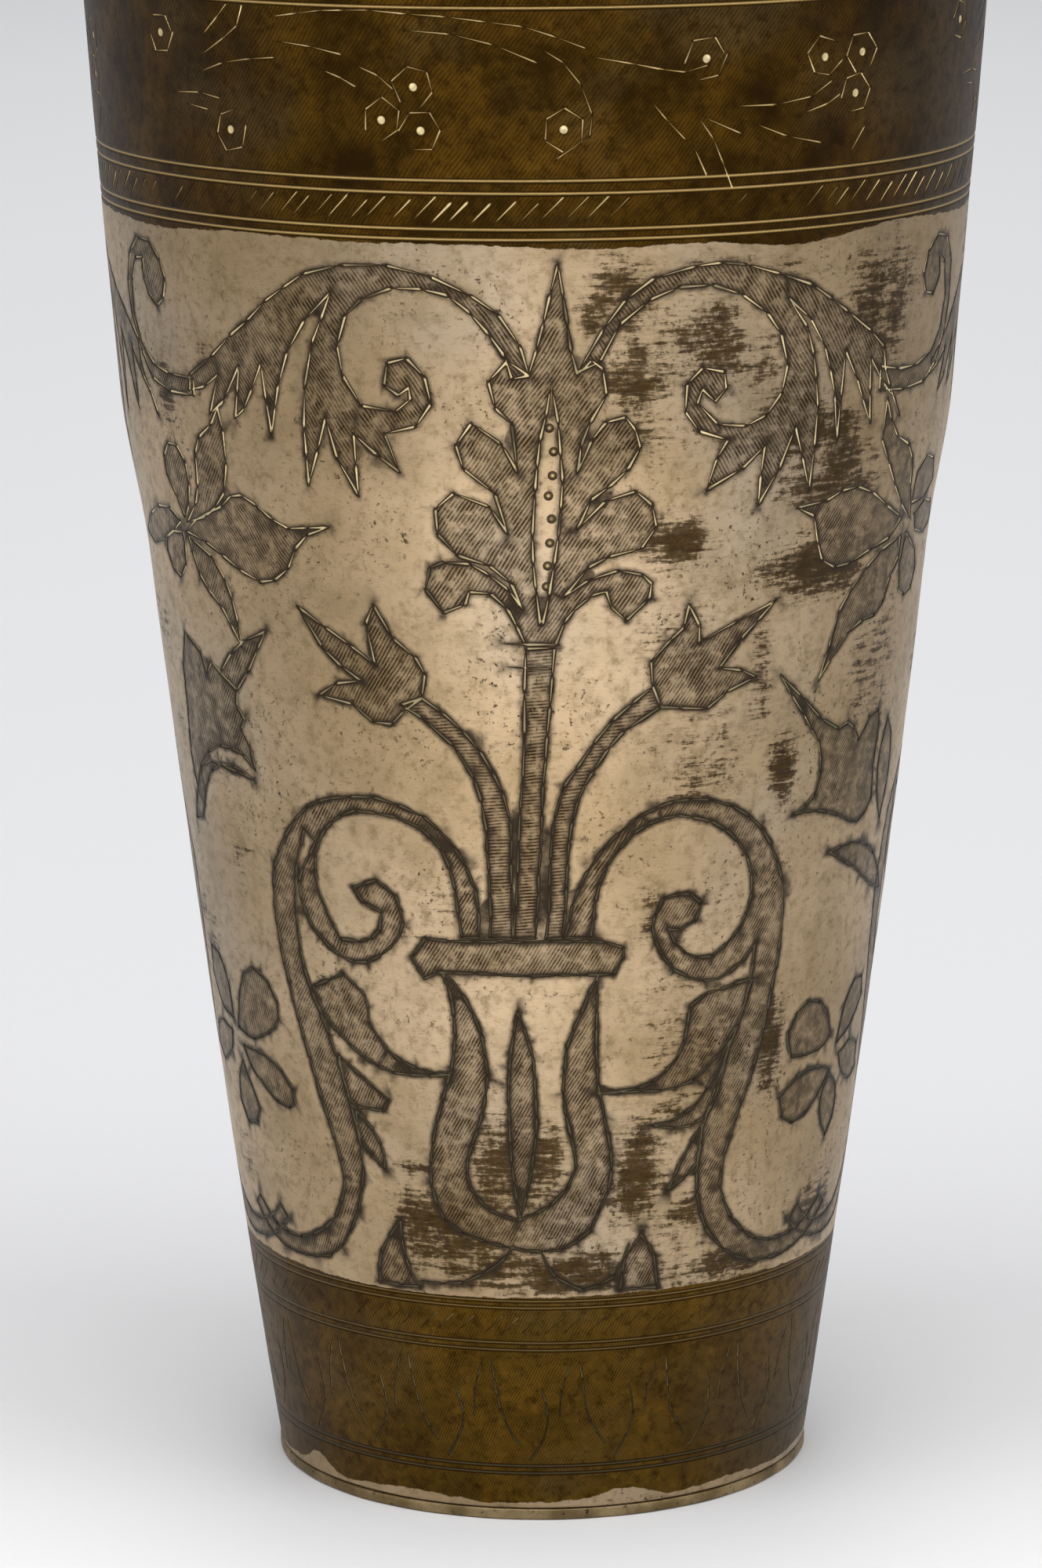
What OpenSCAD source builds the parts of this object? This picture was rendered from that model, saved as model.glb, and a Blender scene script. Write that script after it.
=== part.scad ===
// Tall tinned brass vase-shaped pot, chased all round.
// A tapering sheet wall stands on a flat soldered base disc, and its mouth edge
// is curled outwards over a rim wire. +Z is up and the base stands on z = 0.

/* [Overall] */
// Overall height, from the underside of the base to the top of the mouth bead
overall_h = 284; // [240:1:340]
// Outer diameter of the wall where it meets the base disc
foot_d = 95.8; // [80:0.2:130]
// Outer diameter of the wall just under the mouth bead
mouth_d = 160.2; // [146:0.2:195]

/* [Shoulder] */
// Height of the lower edge of the shallow shoulder
shoulder_z = 169; // [130:1:200]
// Height of the shoulder itself
shoulder_h = 26; // [12:1:40]
// Outer diameter of the wall at the lower edge of the shoulder
shoulder_foot_d = 138.6; // [120:0.2:144]
// Outer diameter of the wall at the upper edge of the shoulder
shoulder_top_d = 146.8; // [138:0.2:158]
// How far the flank under the shoulder swells outside a straight taper
flank_swell = 1; // [0:0.1:4]

/* [Sheet] */
// Thickness of the sheet that the wall is raised from
sheet_t = 1.3; // [0.8:0.1:2]
// Thickness of the base disc
base_t = 2; // [1.2:0.1:4]
// How far the base disc stands out past the foot of the wall
base_lip = 0.2; // [0:0.1:2]
// Rounding of the lower edge of the base disc
base_round = 0.6; // [0.2:0.1:1]

/* [Mouth bead] */
// Diameter of the wire inside the mouth bead
wire_d = 3; // [2:0.1:5]
// Play between the wire and the curl around it
wire_play = 0.05; // [0.02:0.01:0.2]
// Gap left between the edge of the curl and the outside of the wall
curl_gap = 0.3; // [0.1:0.1:0.6]

/* [Solder] */
// Thickness of the solder film between the wall's foot and the base disc
film_t = 0.2; // [0.1:0.05:0.4]
// How far the film stays back from the outside of the wall
film_set_back = 0.4; // [0.1:0.1:0.6]
// Width and height of the solder fillet inside the corner
fillet_w = 3; // [1.5:0.5:5]

/* [Hidden] */
$fn = 96;

// Heights that the pieces share
wall_z = base_t + film_t;
shoulder_top_z = shoulder_z + shoulder_h;
curl_inner_r = wire_d / 2 + wire_play;
curl_outer_r = curl_inner_r + sheet_t;
bead_z = overall_h - curl_outer_r;

// Radii that the pieces share
foot_r = foot_d / 2;
base_r = foot_r + base_lip;
bead_r = mouth_d / 2 - sheet_t + curl_outer_r;

// The wall's outline is sampled at this spacing
station_h = 6;
fillet_steps = 8;

// Straight line from a to b
function mix(a, b, t) = a + (b - a) * t;
// Eased step from 0 to 1
function eased(t) = t * t * (3 - 2 * t);
function clamped(t) = max(0, min(1, t));

// Flank under the shoulder: a taper with a slight swell
function flank_t(z) = (z - wall_z) / (shoulder_z - wall_z);
function flank_r(z) =
    mix(foot_r, shoulder_foot_d / 2, flank_t(z))
    + 4 * flank_swell * flank_t(z) * (1 - flank_t(z));

// Straight taper over the shoulder, up to the bead
function neck_t(z) = (z - shoulder_top_z) / (bead_z - shoulder_top_z);
function neck_r(z) = mix(shoulder_top_d / 2, mouth_d / 2, neck_t(z));

// Outer radius of the wall at any height
function outer_r(z) =
    mix(flank_r(z), neck_r(z), eased(clamped((z - shoulder_z) / shoulder_h)));

stations = ceil((bead_z - wall_z) / station_h);
heights = [for (i = [0 : stations]) mix(wall_z, bead_z, i / stations)];

// Half section of the plain wall, from its foot to the middle of the bead
module wall_section() {
    outside = [for (z = heights) [outer_r(z), z]];
    inside = [for (i = [stations : -1 : 0]) [outer_r(heights[i]) - sheet_t, heights[i]]];
    polygon(concat(outside, inside));
}

// Sector of the bead that the curl leaves open, under it and next to the wall
module curl_opening() {
    reach = 2 * curl_outer_r;
    opening_a = acos((curl_inner_r - curl_gap) / curl_outer_r);
    polygon([
        [0, 0],
        [-reach * cos(opening_a), -reach * sin(opening_a)],
        [-reach, -reach * sin(opening_a)],
        [-reach, 0]
    ]);
}

// Half section of the sheet curled outwards over the wire
module curl_section() {
    translate([bead_r, bead_z])
        difference() {
            circle(r = curl_outer_r);
            circle(r = curl_inner_r);
            curl_opening();
        }
}

// Wall raised from one sheet, with its mouth edge curled over the wire
module vessel_wall() {
    color([0.62, 0.57, 0.49])
        rotate_extrude()
            union() {
                wall_section();
                curl_section();
            }
}

// Flat disc that closes the foot, with its lower edge rounded over
module base_disc() {
    color([0.42, 0.36, 0.18])
        rotate_extrude()
            union() {
                square([base_r - base_round, base_t]);
                translate([0, base_round])
                    square([base_r, base_t - base_round]);
                translate([base_r - base_round, base_round])
                    circle(r = base_round);
            }
}

// Solder: a film under the wall's foot, and a hollow fillet inside the corner
module solder_seam() {
    inner_r = foot_r - sheet_t;
    film_r = foot_r - film_set_back;
    // The fillet leans out with the lowest stretch of the wall
    lean = (outer_r(heights[1]) - foot_r) / (heights[1] - wall_z);
    arc = [
        for (i = [0 : fillet_steps])
            let (
                a = 90 * i / fillet_steps,
                rise = fillet_w * (1 - cos(a))
            )
            [inner_r - fillet_w * (1 - sin(a)) + lean * rise, wall_z + rise]
    ];
    color([0.35, 0.34, 0.32])
        rotate_extrude()
            polygon(concat(
                [[inner_r, wall_z], [film_r, wall_z], [film_r, base_t]],
                [[inner_r - fillet_w, base_t]],
                arc
            ));
}

// Wire inside the mouth bead
module rim_wire() {
    color([0.55, 0.45, 0.25])
        rotate_extrude()
            translate([bead_r, bead_z])
                circle(r = wire_d / 2);
}

vessel_wall();
base_disc();
solder_seam();
rim_wire();
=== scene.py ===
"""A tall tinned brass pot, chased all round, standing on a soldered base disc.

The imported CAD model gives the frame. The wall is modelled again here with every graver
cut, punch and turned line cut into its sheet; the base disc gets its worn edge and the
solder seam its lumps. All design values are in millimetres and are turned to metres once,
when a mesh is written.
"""

from __future__ import annotations

import logging
import math
import random
from dataclasses import dataclass, field, replace
from enum import Enum
from typing import Any, Iterable, Iterator, Sequence

import bmesh
import bpy
import numpy as np
from mathutils import Matrix, Vector
from mathutils.geometry import delaunay_2d_cdt


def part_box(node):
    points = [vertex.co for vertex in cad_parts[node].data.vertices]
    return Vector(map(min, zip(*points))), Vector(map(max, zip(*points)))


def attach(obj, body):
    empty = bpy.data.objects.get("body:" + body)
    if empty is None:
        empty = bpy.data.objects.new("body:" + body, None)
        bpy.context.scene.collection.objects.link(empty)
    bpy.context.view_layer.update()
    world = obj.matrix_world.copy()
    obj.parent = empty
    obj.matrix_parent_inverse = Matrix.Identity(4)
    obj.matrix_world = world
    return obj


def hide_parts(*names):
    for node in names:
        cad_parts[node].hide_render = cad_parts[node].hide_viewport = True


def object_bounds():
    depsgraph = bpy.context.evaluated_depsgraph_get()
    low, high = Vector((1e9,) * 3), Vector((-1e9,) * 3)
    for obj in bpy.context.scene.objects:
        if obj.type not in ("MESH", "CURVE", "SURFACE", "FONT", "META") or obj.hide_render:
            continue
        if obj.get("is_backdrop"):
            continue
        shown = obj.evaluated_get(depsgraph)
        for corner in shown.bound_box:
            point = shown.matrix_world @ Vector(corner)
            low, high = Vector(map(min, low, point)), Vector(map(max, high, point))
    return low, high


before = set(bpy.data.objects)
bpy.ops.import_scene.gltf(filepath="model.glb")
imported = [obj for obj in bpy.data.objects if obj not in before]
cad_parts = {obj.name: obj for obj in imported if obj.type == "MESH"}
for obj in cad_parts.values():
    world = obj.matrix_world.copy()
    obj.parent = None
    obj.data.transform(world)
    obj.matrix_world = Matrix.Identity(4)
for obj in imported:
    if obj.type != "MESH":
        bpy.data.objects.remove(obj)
CAD_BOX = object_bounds()

LOG = logging.getLogger("pot")
MM = 0.001
TAU = 2 * math.pi

Point = tuple[float, float]
Path = Sequence[Point]
Socket = bpy.types.NodeSocket


def eased(t: Any, a: Any, leave: Any, b: Any, arrive: Any, span: Any = 1.0) -> Any:
    """Runs a cubic from one value to another, with the slope given at each end.

    Args:
        t: share of the way along.
        a: value at the start.
        leave: slope at the start.
        b: value at the end.
        arrive: slope at the end.
        span: length that the slopes are measured over.

    Returns:
        The value at t.
    """
    return (
        (2 * t**3 - 3 * t**2 + 1) * a
        + (t**3 - 2 * t**2 + t) * span * leave
        + (3 * t**2 - 2 * t**3) * b
        + (t**3 - t**2) * span * arrive
    )


def wrapped(angle: Any) -> Any:
    """Brings an angle, or a difference of two, to within half a turn."""
    return (angle + math.pi) % TAU - math.pi


# --------------------------------------------------------------------------------------
# The sheet that the wall is raised from
# --------------------------------------------------------------------------------------


class WallSheet:
    """The outer surface of the CAD wall, and a flat map of it that keeps all angles."""

    # How near in height two vertices of one station lie, and how finely radii are kept
    SAME_ROW = 0.1
    FINE_STEP = 0.25

    def __init__(self, wall: str, wire: str) -> None:
        """Reads the radii of the CAD wall at each of its stations.

        Args:
            wall: name of the CAD node of the wall.
            wire: name of the CAD node of the wire inside the mouth bead.
        """
        wire_low, wire_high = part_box(wire)
        wall_low, wall_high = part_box(wall)
        self.bead_z = (wire_high.z + wire_low.z) / 2 / MM
        self.bead_outer = wall_high.z / MM - self.bead_z
        self.bead_r = max(wall_high.x, wall_high.y) / MM - self.bead_outer
        self.foot_z = wall_low.z / MM

        spots = np.array([v.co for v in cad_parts[wall].data.vertices]) / MM
        spots = spots[spots[:, 2] < self.bead_z - self.bead_outer]
        reach = np.hypot(spots[:, 0], spots[:, 1])
        heights = np.unique(np.round(spots[:, 2], 1))
        rows = [reach[np.abs(spots[:, 2] - z) < self.SAME_ROW] for z in heights]
        self.sheet_t = float(np.median([np.ptp(row) for row in rows]))
        whole = [np.ptp(row) > self.sheet_t / 2 for row in rows]
        heights = heights[whole]
        outer = np.array([row.max() for row, both in zip(rows, whole) if both])

        # The last stretch runs straight on, up to the middle of the bead
        slope = (outer[-1] - outer[-2]) / (heights[-1] - heights[-2])
        heights = np.append(heights, self.bead_z)
        outer = np.append(outer, outer[-1] + slope * (self.bead_z - heights[-2]))
        self.fine_z = np.arange(heights[0], heights[-1], self.FINE_STEP)
        self.fine_r = self._smooth(self.fine_z, heights, outer)
        self.fine_slope = np.gradient(self.fine_r, self.fine_z)
        steps = np.diff(self.fine_z) * (1 / self.fine_r[1:] + 1 / self.fine_r[:-1]) / 2
        self.fine_map = np.concatenate([[0.0], np.cumsum(steps)])

    @staticmethod
    def _smooth(at: np.ndarray, x: np.ndarray, y: np.ndarray) -> np.ndarray:
        """Runs a cubic through the stations, so that no station shows as a kink.

        Args:
            at: heights to work the radius out for.
            x: heights of the stations.
            y: radii of the stations.

        Returns:
            The radius at each height asked for.
        """
        slope = np.gradient(y, x)
        i = np.clip(np.searchsorted(x, at) - 1, 0, len(x) - 2)
        h = x[i + 1] - x[i]
        return eased((at - x[i]) / h, y[i], slope[i], y[i + 1], slope[i + 1], h)

    def radius(self, z: Any) -> Any:
        """Outer radius of the wall at a height."""
        return np.interp(z, self.fine_z, self.fine_r)

    def slope(self, z: Any) -> Any:
        """How fast the outer radius grows with height."""
        return np.interp(z, self.fine_z, self.fine_slope)

    def to_flat(self, theta: Any, z: Any) -> np.ndarray:
        """Lays a place on the wall out on the flat ring-shaped map."""
        rho = np.exp(np.interp(z, self.fine_z, self.fine_map))
        return np.stack([rho * np.cos(theta), rho * np.sin(theta)], -1)

    def from_flat(self, flat: np.ndarray) -> tuple[np.ndarray, np.ndarray]:
        """Finds the angle and height of each place on the flat map."""
        rho = np.log(np.hypot(flat[:, 0], flat[:, 1]))
        theta = np.arctan2(flat[:, 1], flat[:, 0])
        return theta, np.interp(rho, self.fine_map, self.fine_z)


# --------------------------------------------------------------------------------------
# Tool marks
# --------------------------------------------------------------------------------------


@dataclass(frozen=True)
class Stroke:
    """One straight graver cut: it starts fine, gets wider and deeper, and ends blunt."""

    theta: float
    z: float
    r: float
    along: Point
    length: float
    half_width: float
    depth: float

    # Shares of the length and of the half width that shape the wedge
    STATIONS = (0.0, 0.3, 0.88, 1.0)
    WIDTHS = (0.0, 0.7, 1.0, 0.55)
    DEPTHS = (0.0, 0.7, 1.0, 0.0)

    @classmethod
    def between(cls, sheet: WallSheet, a: Point, b: Point, width: float, depth: float) -> Stroke:
        """Lays a cut between two places given as angle and height.

        Args:
            sheet: surface that the cut lies on.
            a: angle and height where the graver enters.
            b: angle and height where it is lifted.
            width: greatest width of the cut.
            depth: greatest depth of the cut.

        Returns:
            The cut.
        """
        z = (a[1] + b[1]) / 2
        r = float(sheet.radius(z))
        dx = wrapped(b[0] - a[0]) * r
        dz = b[1] - a[1]
        length = max(math.hypot(dx, dz), 0.01)
        middle = a[0] + dx / r / 2
        return cls(middle, z, r, (dx / length, dz / length), length, width / 2, depth)

    def place(self, t: float, s: float) -> Point:
        """Angle and height of a point given along the cut and across it."""
        u = (t - 0.5) * self.length
        v = s * self.half_width
        dx = u * self.along[0] - v * self.along[1]
        dz = u * self.along[1] + v * self.along[0]
        return self.theta + dx / self.r, self.z + dz

    def local(self, theta: np.ndarray, z: np.ndarray) -> tuple[np.ndarray, np.ndarray]:
        """Where places lie along the cut, as a share, and across it in millimetres."""
        dx = wrapped(theta - self.theta) * self.r
        dz = z - self.z
        along = (dx * self.along[0] + dz * self.along[1]) / self.length + 0.5
        return along, dz * self.along[0] - dx * self.along[1]

    def depth_at(self, theta: np.ndarray, z: np.ndarray) -> np.ndarray:
        """How deep the cut is at each place, in millimetres."""
        t, s = self.local(theta, z)
        width = np.interp(t, self.STATIONS, self.WIDTHS) * self.half_width
        deep = np.interp(t, self.STATIONS, self.DEPTHS) * self.depth
        inside = (t > 0) & (t < 1) & (width > 0)
        return np.where(inside, deep * np.clip(1 - np.abs(s) / np.maximum(width, 1e-6), 0, 1), 0)

    def near(self, theta: np.ndarray, z: np.ndarray, margin: float) -> np.ndarray:
        """Whether each place lies in the cut or within a margin of it."""
        t, s = self.local(theta, z)
        slack = margin / self.length
        return (t > -slack) & (t < 1 + slack) & (np.abs(s) < self.half_width + margin)

    def soot_at(self, theta: np.ndarray, z: np.ndarray, spread: float) -> np.ndarray:
        """How much dirt the cut gathers at each place, from 1 in it to 0 well away."""
        t, s = self.local(theta, z)
        beyond = np.maximum(np.abs(t - 0.5) - 0.5, 0) * self.length
        beside = np.maximum(np.abs(s) - self.half_width, 0)
        return np.exp(-((beyond**2 + beside**2) / spread**2))

    def beside(self, away: float, pitch: float) -> list[Point]:
        """Places in a row on each side of the cut.

        Args:
            away: how far the rows are from the rims.
            pitch: how far apart the places are.

        Returns:
            Angle and height of each place.
        """
        count = max(1, round(self.length / pitch))
        across = 1 + away / self.half_width
        return [self.place((k + 0.5) / count, side) for k in range(count) for side in (-across, across)]

    def reach(self) -> float:
        """Half the height that the cut can take up."""
        return self.length / 2 + self.half_width

    def draw(self, plan: Plan) -> None:
        """Adds the outline and the valley of the cut to the plan."""
        sides = list(zip(self.STATIONS, self.WIDTHS))
        left = [self.place(t, -s) for t, s in sides]
        right = [self.place(t, s) for t, s in reversed(sides[1:])]
        loop = plan.loop(left + right)
        valley = [plan.spot(self.place(t, 0)) for t in self.STATIONS[1:3]]
        plan.edges += [(loop[0], valley[0]), (valley[0], valley[1])]


@dataclass(frozen=True)
class Punch:
    """A round mark struck with a domed punch."""

    theta: float
    z: float
    r: float
    size: float
    depth: float
    sides: int = 10
    inner_ring: float = 0.55

    def depth_at(self, theta: np.ndarray, z: np.ndarray) -> np.ndarray:
        """How deep the mark is at each place, in millimetres."""
        away = np.hypot(wrapped(theta - self.theta) * self.r, z - self.z) / self.size
        return self.depth * np.clip(1 - away**2, 0, 1)

    def near(self, theta: np.ndarray, z: np.ndarray, margin: float) -> np.ndarray:
        """Whether each place lies in the mark or within a margin of it."""
        away = np.hypot(wrapped(theta - self.theta) * self.r, z - self.z)
        return away < self.size + margin

    def reach(self) -> float:
        """Half the height that the mark takes up."""
        return self.size

    def draw(self, plan: Plan) -> None:
        """Adds the rim, a ring half way in and the middle of the mark to the plan."""
        for share in (1.0, self.inner_ring):
            ring = []
            for k in range(self.sides):
                angle = TAU * k / self.sides
                dx = self.size * share * math.cos(angle) / self.r
                ring.append((self.theta + dx, self.z + self.size * share * math.sin(angle)))
            plan.loop(ring)
        plan.spot((self.theta, self.z))


@dataclass(frozen=True)
class TurnedLine:
    """A line turned right round the pot."""

    z: float
    half_width: float
    depth: float

    def depth_at(self, theta: np.ndarray, z: np.ndarray) -> np.ndarray:
        """How deep the line is at each height, in millimetres."""
        return self.depth * np.clip(1 - np.abs(z - self.z) / self.half_width, 0, 1)

    def reach(self) -> float:
        """Half the height that the line takes up."""
        return self.half_width


def at_height_of(
    marks: Iterable[Any], z: np.ndarray, extra: float = 0.0
) -> Iterator[tuple[Any, np.ndarray]]:
    """Finds the places that lie at the height of each mark.

    Args:
        marks: marks to look at.
        z: height of each place.
        extra: how far above and below a mark to look.

    Yields:
        Each mark with the indices of its places.
    """
    order = np.argsort(z)
    heights = z[order]
    for mark in marks:
        span = mark.reach() + extra
        first, last = np.searchsorted(heights, (mark.z - span, mark.z + span))
        yield mark, order[first:last]


class Plan:
    """The places and edges that the wall's mesh has to keep, laid out on the flat map."""

    # How near two places on the map count as one, and how far over the lowest ring a face
    # has to reach to be kept
    MERGE = 1e-5
    ABOVE_RING = 0.05

    def __init__(self, sheet: WallSheet) -> None:
        """Starts an empty plan on a sheet."""
        self.sheet = sheet
        self.spots: list[Point] = []
        self.edges: list[tuple[int, int]] = []

    def spot(self, place: Point) -> int:
        """Adds one place, given as angle and height, and returns its index."""
        self.spots.append(place)
        return len(self.spots) - 1

    def chain(self, places: Path) -> list[int]:
        """Adds places joined in a row."""
        found = [self.spot(p) for p in places]
        self.edges += list(zip(found, found[1:]))
        return found

    def loop(self, places: Path) -> list[int]:
        """Adds places joined in a closed row."""
        found = self.chain(places)
        self.edges.append((found[-1], found[0]))
        return found

    def triangles(self, low: float) -> tuple[np.ndarray, np.ndarray, np.ndarray]:
        """Fills the plan with triangles.

        Args:
            low: height of the lowest ring, inside which the map is empty.

        Returns:
            Angle and height of each vertex, and the vertices of each triangle.
        """
        places = np.array(self.spots)
        flat = self.sheet.to_flat(places[:, 0], places[:, 1])
        found = delaunay_2d_cdt([Vector(p) for p in flat], self.edges, [], 0, self.MERGE, False)
        theta, z = self.sheet.from_flat(np.array([tuple(v) for v in found[0]]))
        faces = np.array(found[2])
        keep = (z[faces] > low + self.ABOVE_RING).any(axis=1)
        # The map is seen from inside the pot, so each face is turned over
        return theta, z, faces[keep][:, ::-1]


# --------------------------------------------------------------------------------------
# The chased design
# --------------------------------------------------------------------------------------


class Hatch(Enum):
    """Which way the fine lines run that fill a chased shape."""

    NONE = 0
    RISING = 1
    FALLING = 2
    LEVEL = 3


@dataclass(frozen=True)
class Figure:
    """One chased figure: an outline of short straight cuts, with or without hatching.

    Points are millimetres round the pot from the figure's centre line, and up from the
    base. A turn sharper than 50 degrees stays a corner, and gentler ones are rounded.
    """

    points: Path
    hatch: Hatch = Hatch.NONE
    closed: bool = False
    weight: float = 1.0


def leaf(*points: Point, hatch: Hatch = Hatch.RISING) -> Figure:
    """A closed figure that is filled with hatching."""
    return Figure(points, hatch, True)


def line(*points: Point, weight: float = 1.0) -> Figure:
    """An open line of cuts."""
    return Figure(points, weight=weight)


# Palmette in the middle of each panel: tip, lobes down the right side, lobes up the left
PALMETTE = (
    leaf(
        (3.5, 226), (5, 216), (6.6, 207.5), (9, 210), (11, 208.5), (11.6, 204), (9, 199.5),
        (7.4, 195.5), (6.6, 191), (9, 196.5), (11.5, 199.5), (15, 200), (16.6, 198),
        (17.2, 194.8), (15.2, 191), (12, 188.3), (9, 186), (6.6, 181), (11.3, 186),
        (16.6, 187.5), (19.5, 185), (20.2, 181), (17.7, 177.3), (12, 176.2), (8.4, 174.4),
        (4.5, 169.4), (8.4, 172.3), (13.4, 173.8), (17.7, 172.6), (19.5, 171), (19, 168.5),
        (15, 165), (12.4, 167.3), (11.6, 170), (9, 169.4), (6.3, 167.3), (4.5, 165), (3, 161),
        (-2.3, 161), (-3.4, 164), (-5, 167.3), (-8, 169.8), (-11.6, 170), (-12.3, 168),
        (-16, 166.5), (-19, 170.5), (-18.4, 174), (-16, 175.3), (-11.6, 175), (-8.4, 173.4),
        (-5, 170.5), (-2.6, 167.3), (-4.4, 171.6), (-8, 174.8), (-13.7, 176.6), (-17, 180),
        (-17.3, 184.4), (-14, 187.3), (-8, 185), (-5, 180.5), (-7.3, 187.3), (-12.6, 191.6),
        (-13.7, 195.5), (-11, 199.4), (-6, 196), (-3.3, 191), (-4.4, 199.4), (-7, 202),
        (-8, 206.5), (-5, 209.8), (-1.4, 207.4), (1, 216),
    ),
    line((2.2, 205), (0.6, 196.6), (-0.5, 188), (-0.9, 180), (-0.5, 171), (0.4, 164.5)),
    line((2.6, 205), (4, 194), (3.8, 185), (2.7, 175), (0.8, 164.5)),
    line((-6, 161.3), (3.5, 161), weight=0.6),
    line((-5.5, 157.2), (2.5, 156.8), weight=0.6),
)
PALMETTE_SLIT = ((2.5, 205), (4, 194), (3.8, 185), (2.7, 175), (0.7, 164), (-0.9, 180), (0.6, 196.6))
PALMETTE_PUNCHES = (
    (2, 198.6), (2.7, 194.6), (2.5, 190.5), (1.8, 187), (2.3, 183), (2, 178.8), (1.6, 174.8),
    (1.4, 171.2),
)

# Three stems that rise from the vase, and the bud on each side
STEMS = (
    leaf(
        (-2.1, 160.5), (-2.8, 137.5), (-4.5, 109), (-0.6, 109), (0.4, 131), (1.4, 145),
        (2.6, 160.5),
        hatch=Hatch.LEVEL,
    ),
    leaf(
        (-23.6, 150), (-20, 148), (-14.5, 143), (-11, 137.5), (-9, 128), (-8.4, 109), (-4.7, 109),
        (-5, 130), (-7.7, 138.5), (-12.7, 145.8), (-20, 151.3),
        hatch=Hatch.LEVEL,
    ),
    leaf(
        (19.5, 153), (12.7, 147.5), (6.4, 139.3), (2.7, 131), (1.2, 109), (4, 109), (5.5, 129.5),
        (9, 138.5), (14.5, 145.5), (21, 149.5),
        hatch=Hatch.LEVEL,
    ),
)
BUDS = (
    leaf(
        (-20, 151.3), (-19.3, 155.5), (-21, 158.5), (-25, 161.5), (-28.6, 167), (-30, 163.5),
        (-28.5, 156.5), (-33, 159.5), (-43.6, 165.4), (-38.5, 158.6), (-31, 153.6), (-36, 152.6),
        (-39.5, 150.3), (-33, 149.4), (-29, 146.6), (-25.5, 146.3), (-23.4, 148.6),
    ),
    leaf(
        (19.5, 153), (19.3, 157.5), (22.5, 161), (25.2, 163), (26, 167), (28.2, 163.2), (28, 160.2),
        (35.5, 163.4), (43.2, 166), (36.4, 160.2), (31.8, 155.2), (36.4, 154.4), (39.2, 152.9),
        (33.6, 151), (29.5, 148.4), (25, 149), (21, 149.5),
    ),
)

# Scrolls that curl up out of the vase and run down past its foot
LOWER_SCROLLS = (
    leaf(
        (-10.4, 109), (-10.9, 117.5), (-14.5, 124.8), (-20, 130.3), (-29, 133), (-37.3, 132),
        (-42.7, 129.7), (-48.2, 123.8), (-51, 117.5), (-51.4, 110), (-49.5, 100), (-46.5, 90),
        (-43, 80), (-39, 69), (-37, 62), (-38, 57), (-42, 51.5), (-49, 48.3), (-57, 49), (-63, 53),
        (-65, 51), (-58, 46.5), (-50, 45), (-41, 46.3), (-36, 52), (-33.2, 60), (-33, 68),
        (-35, 75.5), (-37.5, 84), (-41, 92), (-44.5, 100), (-46, 110), (-45.5, 119), (-43.5, 125.5),
        (-41, 124), (-45, 116), (-43.5, 110), (-40.5, 106.5), (-36.4, 103.5), (-31, 103),
        (-26, 106.5), (-24, 111), (-25.2, 115.6), (-28.6, 118.3), (-33.4, 116.5), (-31.5, 114),
        (-28, 112.5), (-28.4, 109.2), (-32, 106.6), (-36, 106.8), (-39.2, 111.5), (-41.4, 118.4),
        (-40.3, 123.8), (-37.8, 127.5), (-32.7, 130.2), (-25, 130), (-21, 128.4), (-16.8, 124.7),
        (-14.5, 117.5), (-13.4, 109),
    ),
    leaf(
        (4.4, 109), (5.6, 114.7), (8.2, 121), (13.6, 127.5), (20, 131.5), (26.4, 132.7),
        (34.5, 130.6), (41, 125.6), (44.7, 119.3), (46.4, 112), (45.6, 103), (43, 92), (40, 82),
        (36.2, 73), (33.3, 64), (33.6, 58), (38, 51.5), (45, 48.2), (54, 49), (61, 53), (63, 51),
        (55, 46.3), (45, 44.6), (36.5, 46.8), (30.2, 53), (28.3, 60), (28.6, 68), (30.5, 76),
        (34.5, 86), (38, 94), (40, 104.5), (34.5, 100.3), (29.5, 99.4), (23.6, 102), (20.2, 107.5),
        (19.9, 112), (21.6, 115.2), (26.5, 115.6), (28.8, 113.5), (27.8, 110.5), (24.8, 109.2),
        (22.6, 109.5), (25.5, 104.9), (31, 103.8), (36.4, 108), (39, 113.8), (37.9, 121),
        (33.8, 126.3), (27.3, 129.3), (21.4, 129.5), (16.4, 127.3), (11.8, 122), (9.6, 115.6),
        (8.6, 109),
    ),
)
SCROLL_LEAVES = (
    leaf(
        (-42.5, 97), (-36, 100.3), (-31.5, 97), (-30.6, 92), (-27, 87), (-22, 84.4), (-15.8, 83.6),
        (-26, 83.2), (-32, 85.3), (-37, 89), (-40.5, 92.3),
    ),
    leaf((-37.3, 85), (-33, 82), (-27.3, 78), (-28.5, 75.8), (-33.7, 75.8), (-35.3, 77)),
    leaf((-34, 75), (-30.5, 72), (-28.3, 67.5), (-28.5, 65), (-33, 69.5)),
    leaf(
        (39.5, 98.5), (30, 97), (26.6, 95), (25.8, 89), (22, 83.4), (17, 81), (9.8, 80.5),
        (24, 80.3), (30, 83.5), (36, 90),
    ),
    leaf((35, 88), (30, 79.5), (26, 75.5), (19.8, 73.6), (27, 73), (31.3, 76.5)),
    leaf((29, 73), (25.3, 67), (22.5, 61.5), (28.4, 66)),
)

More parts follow.
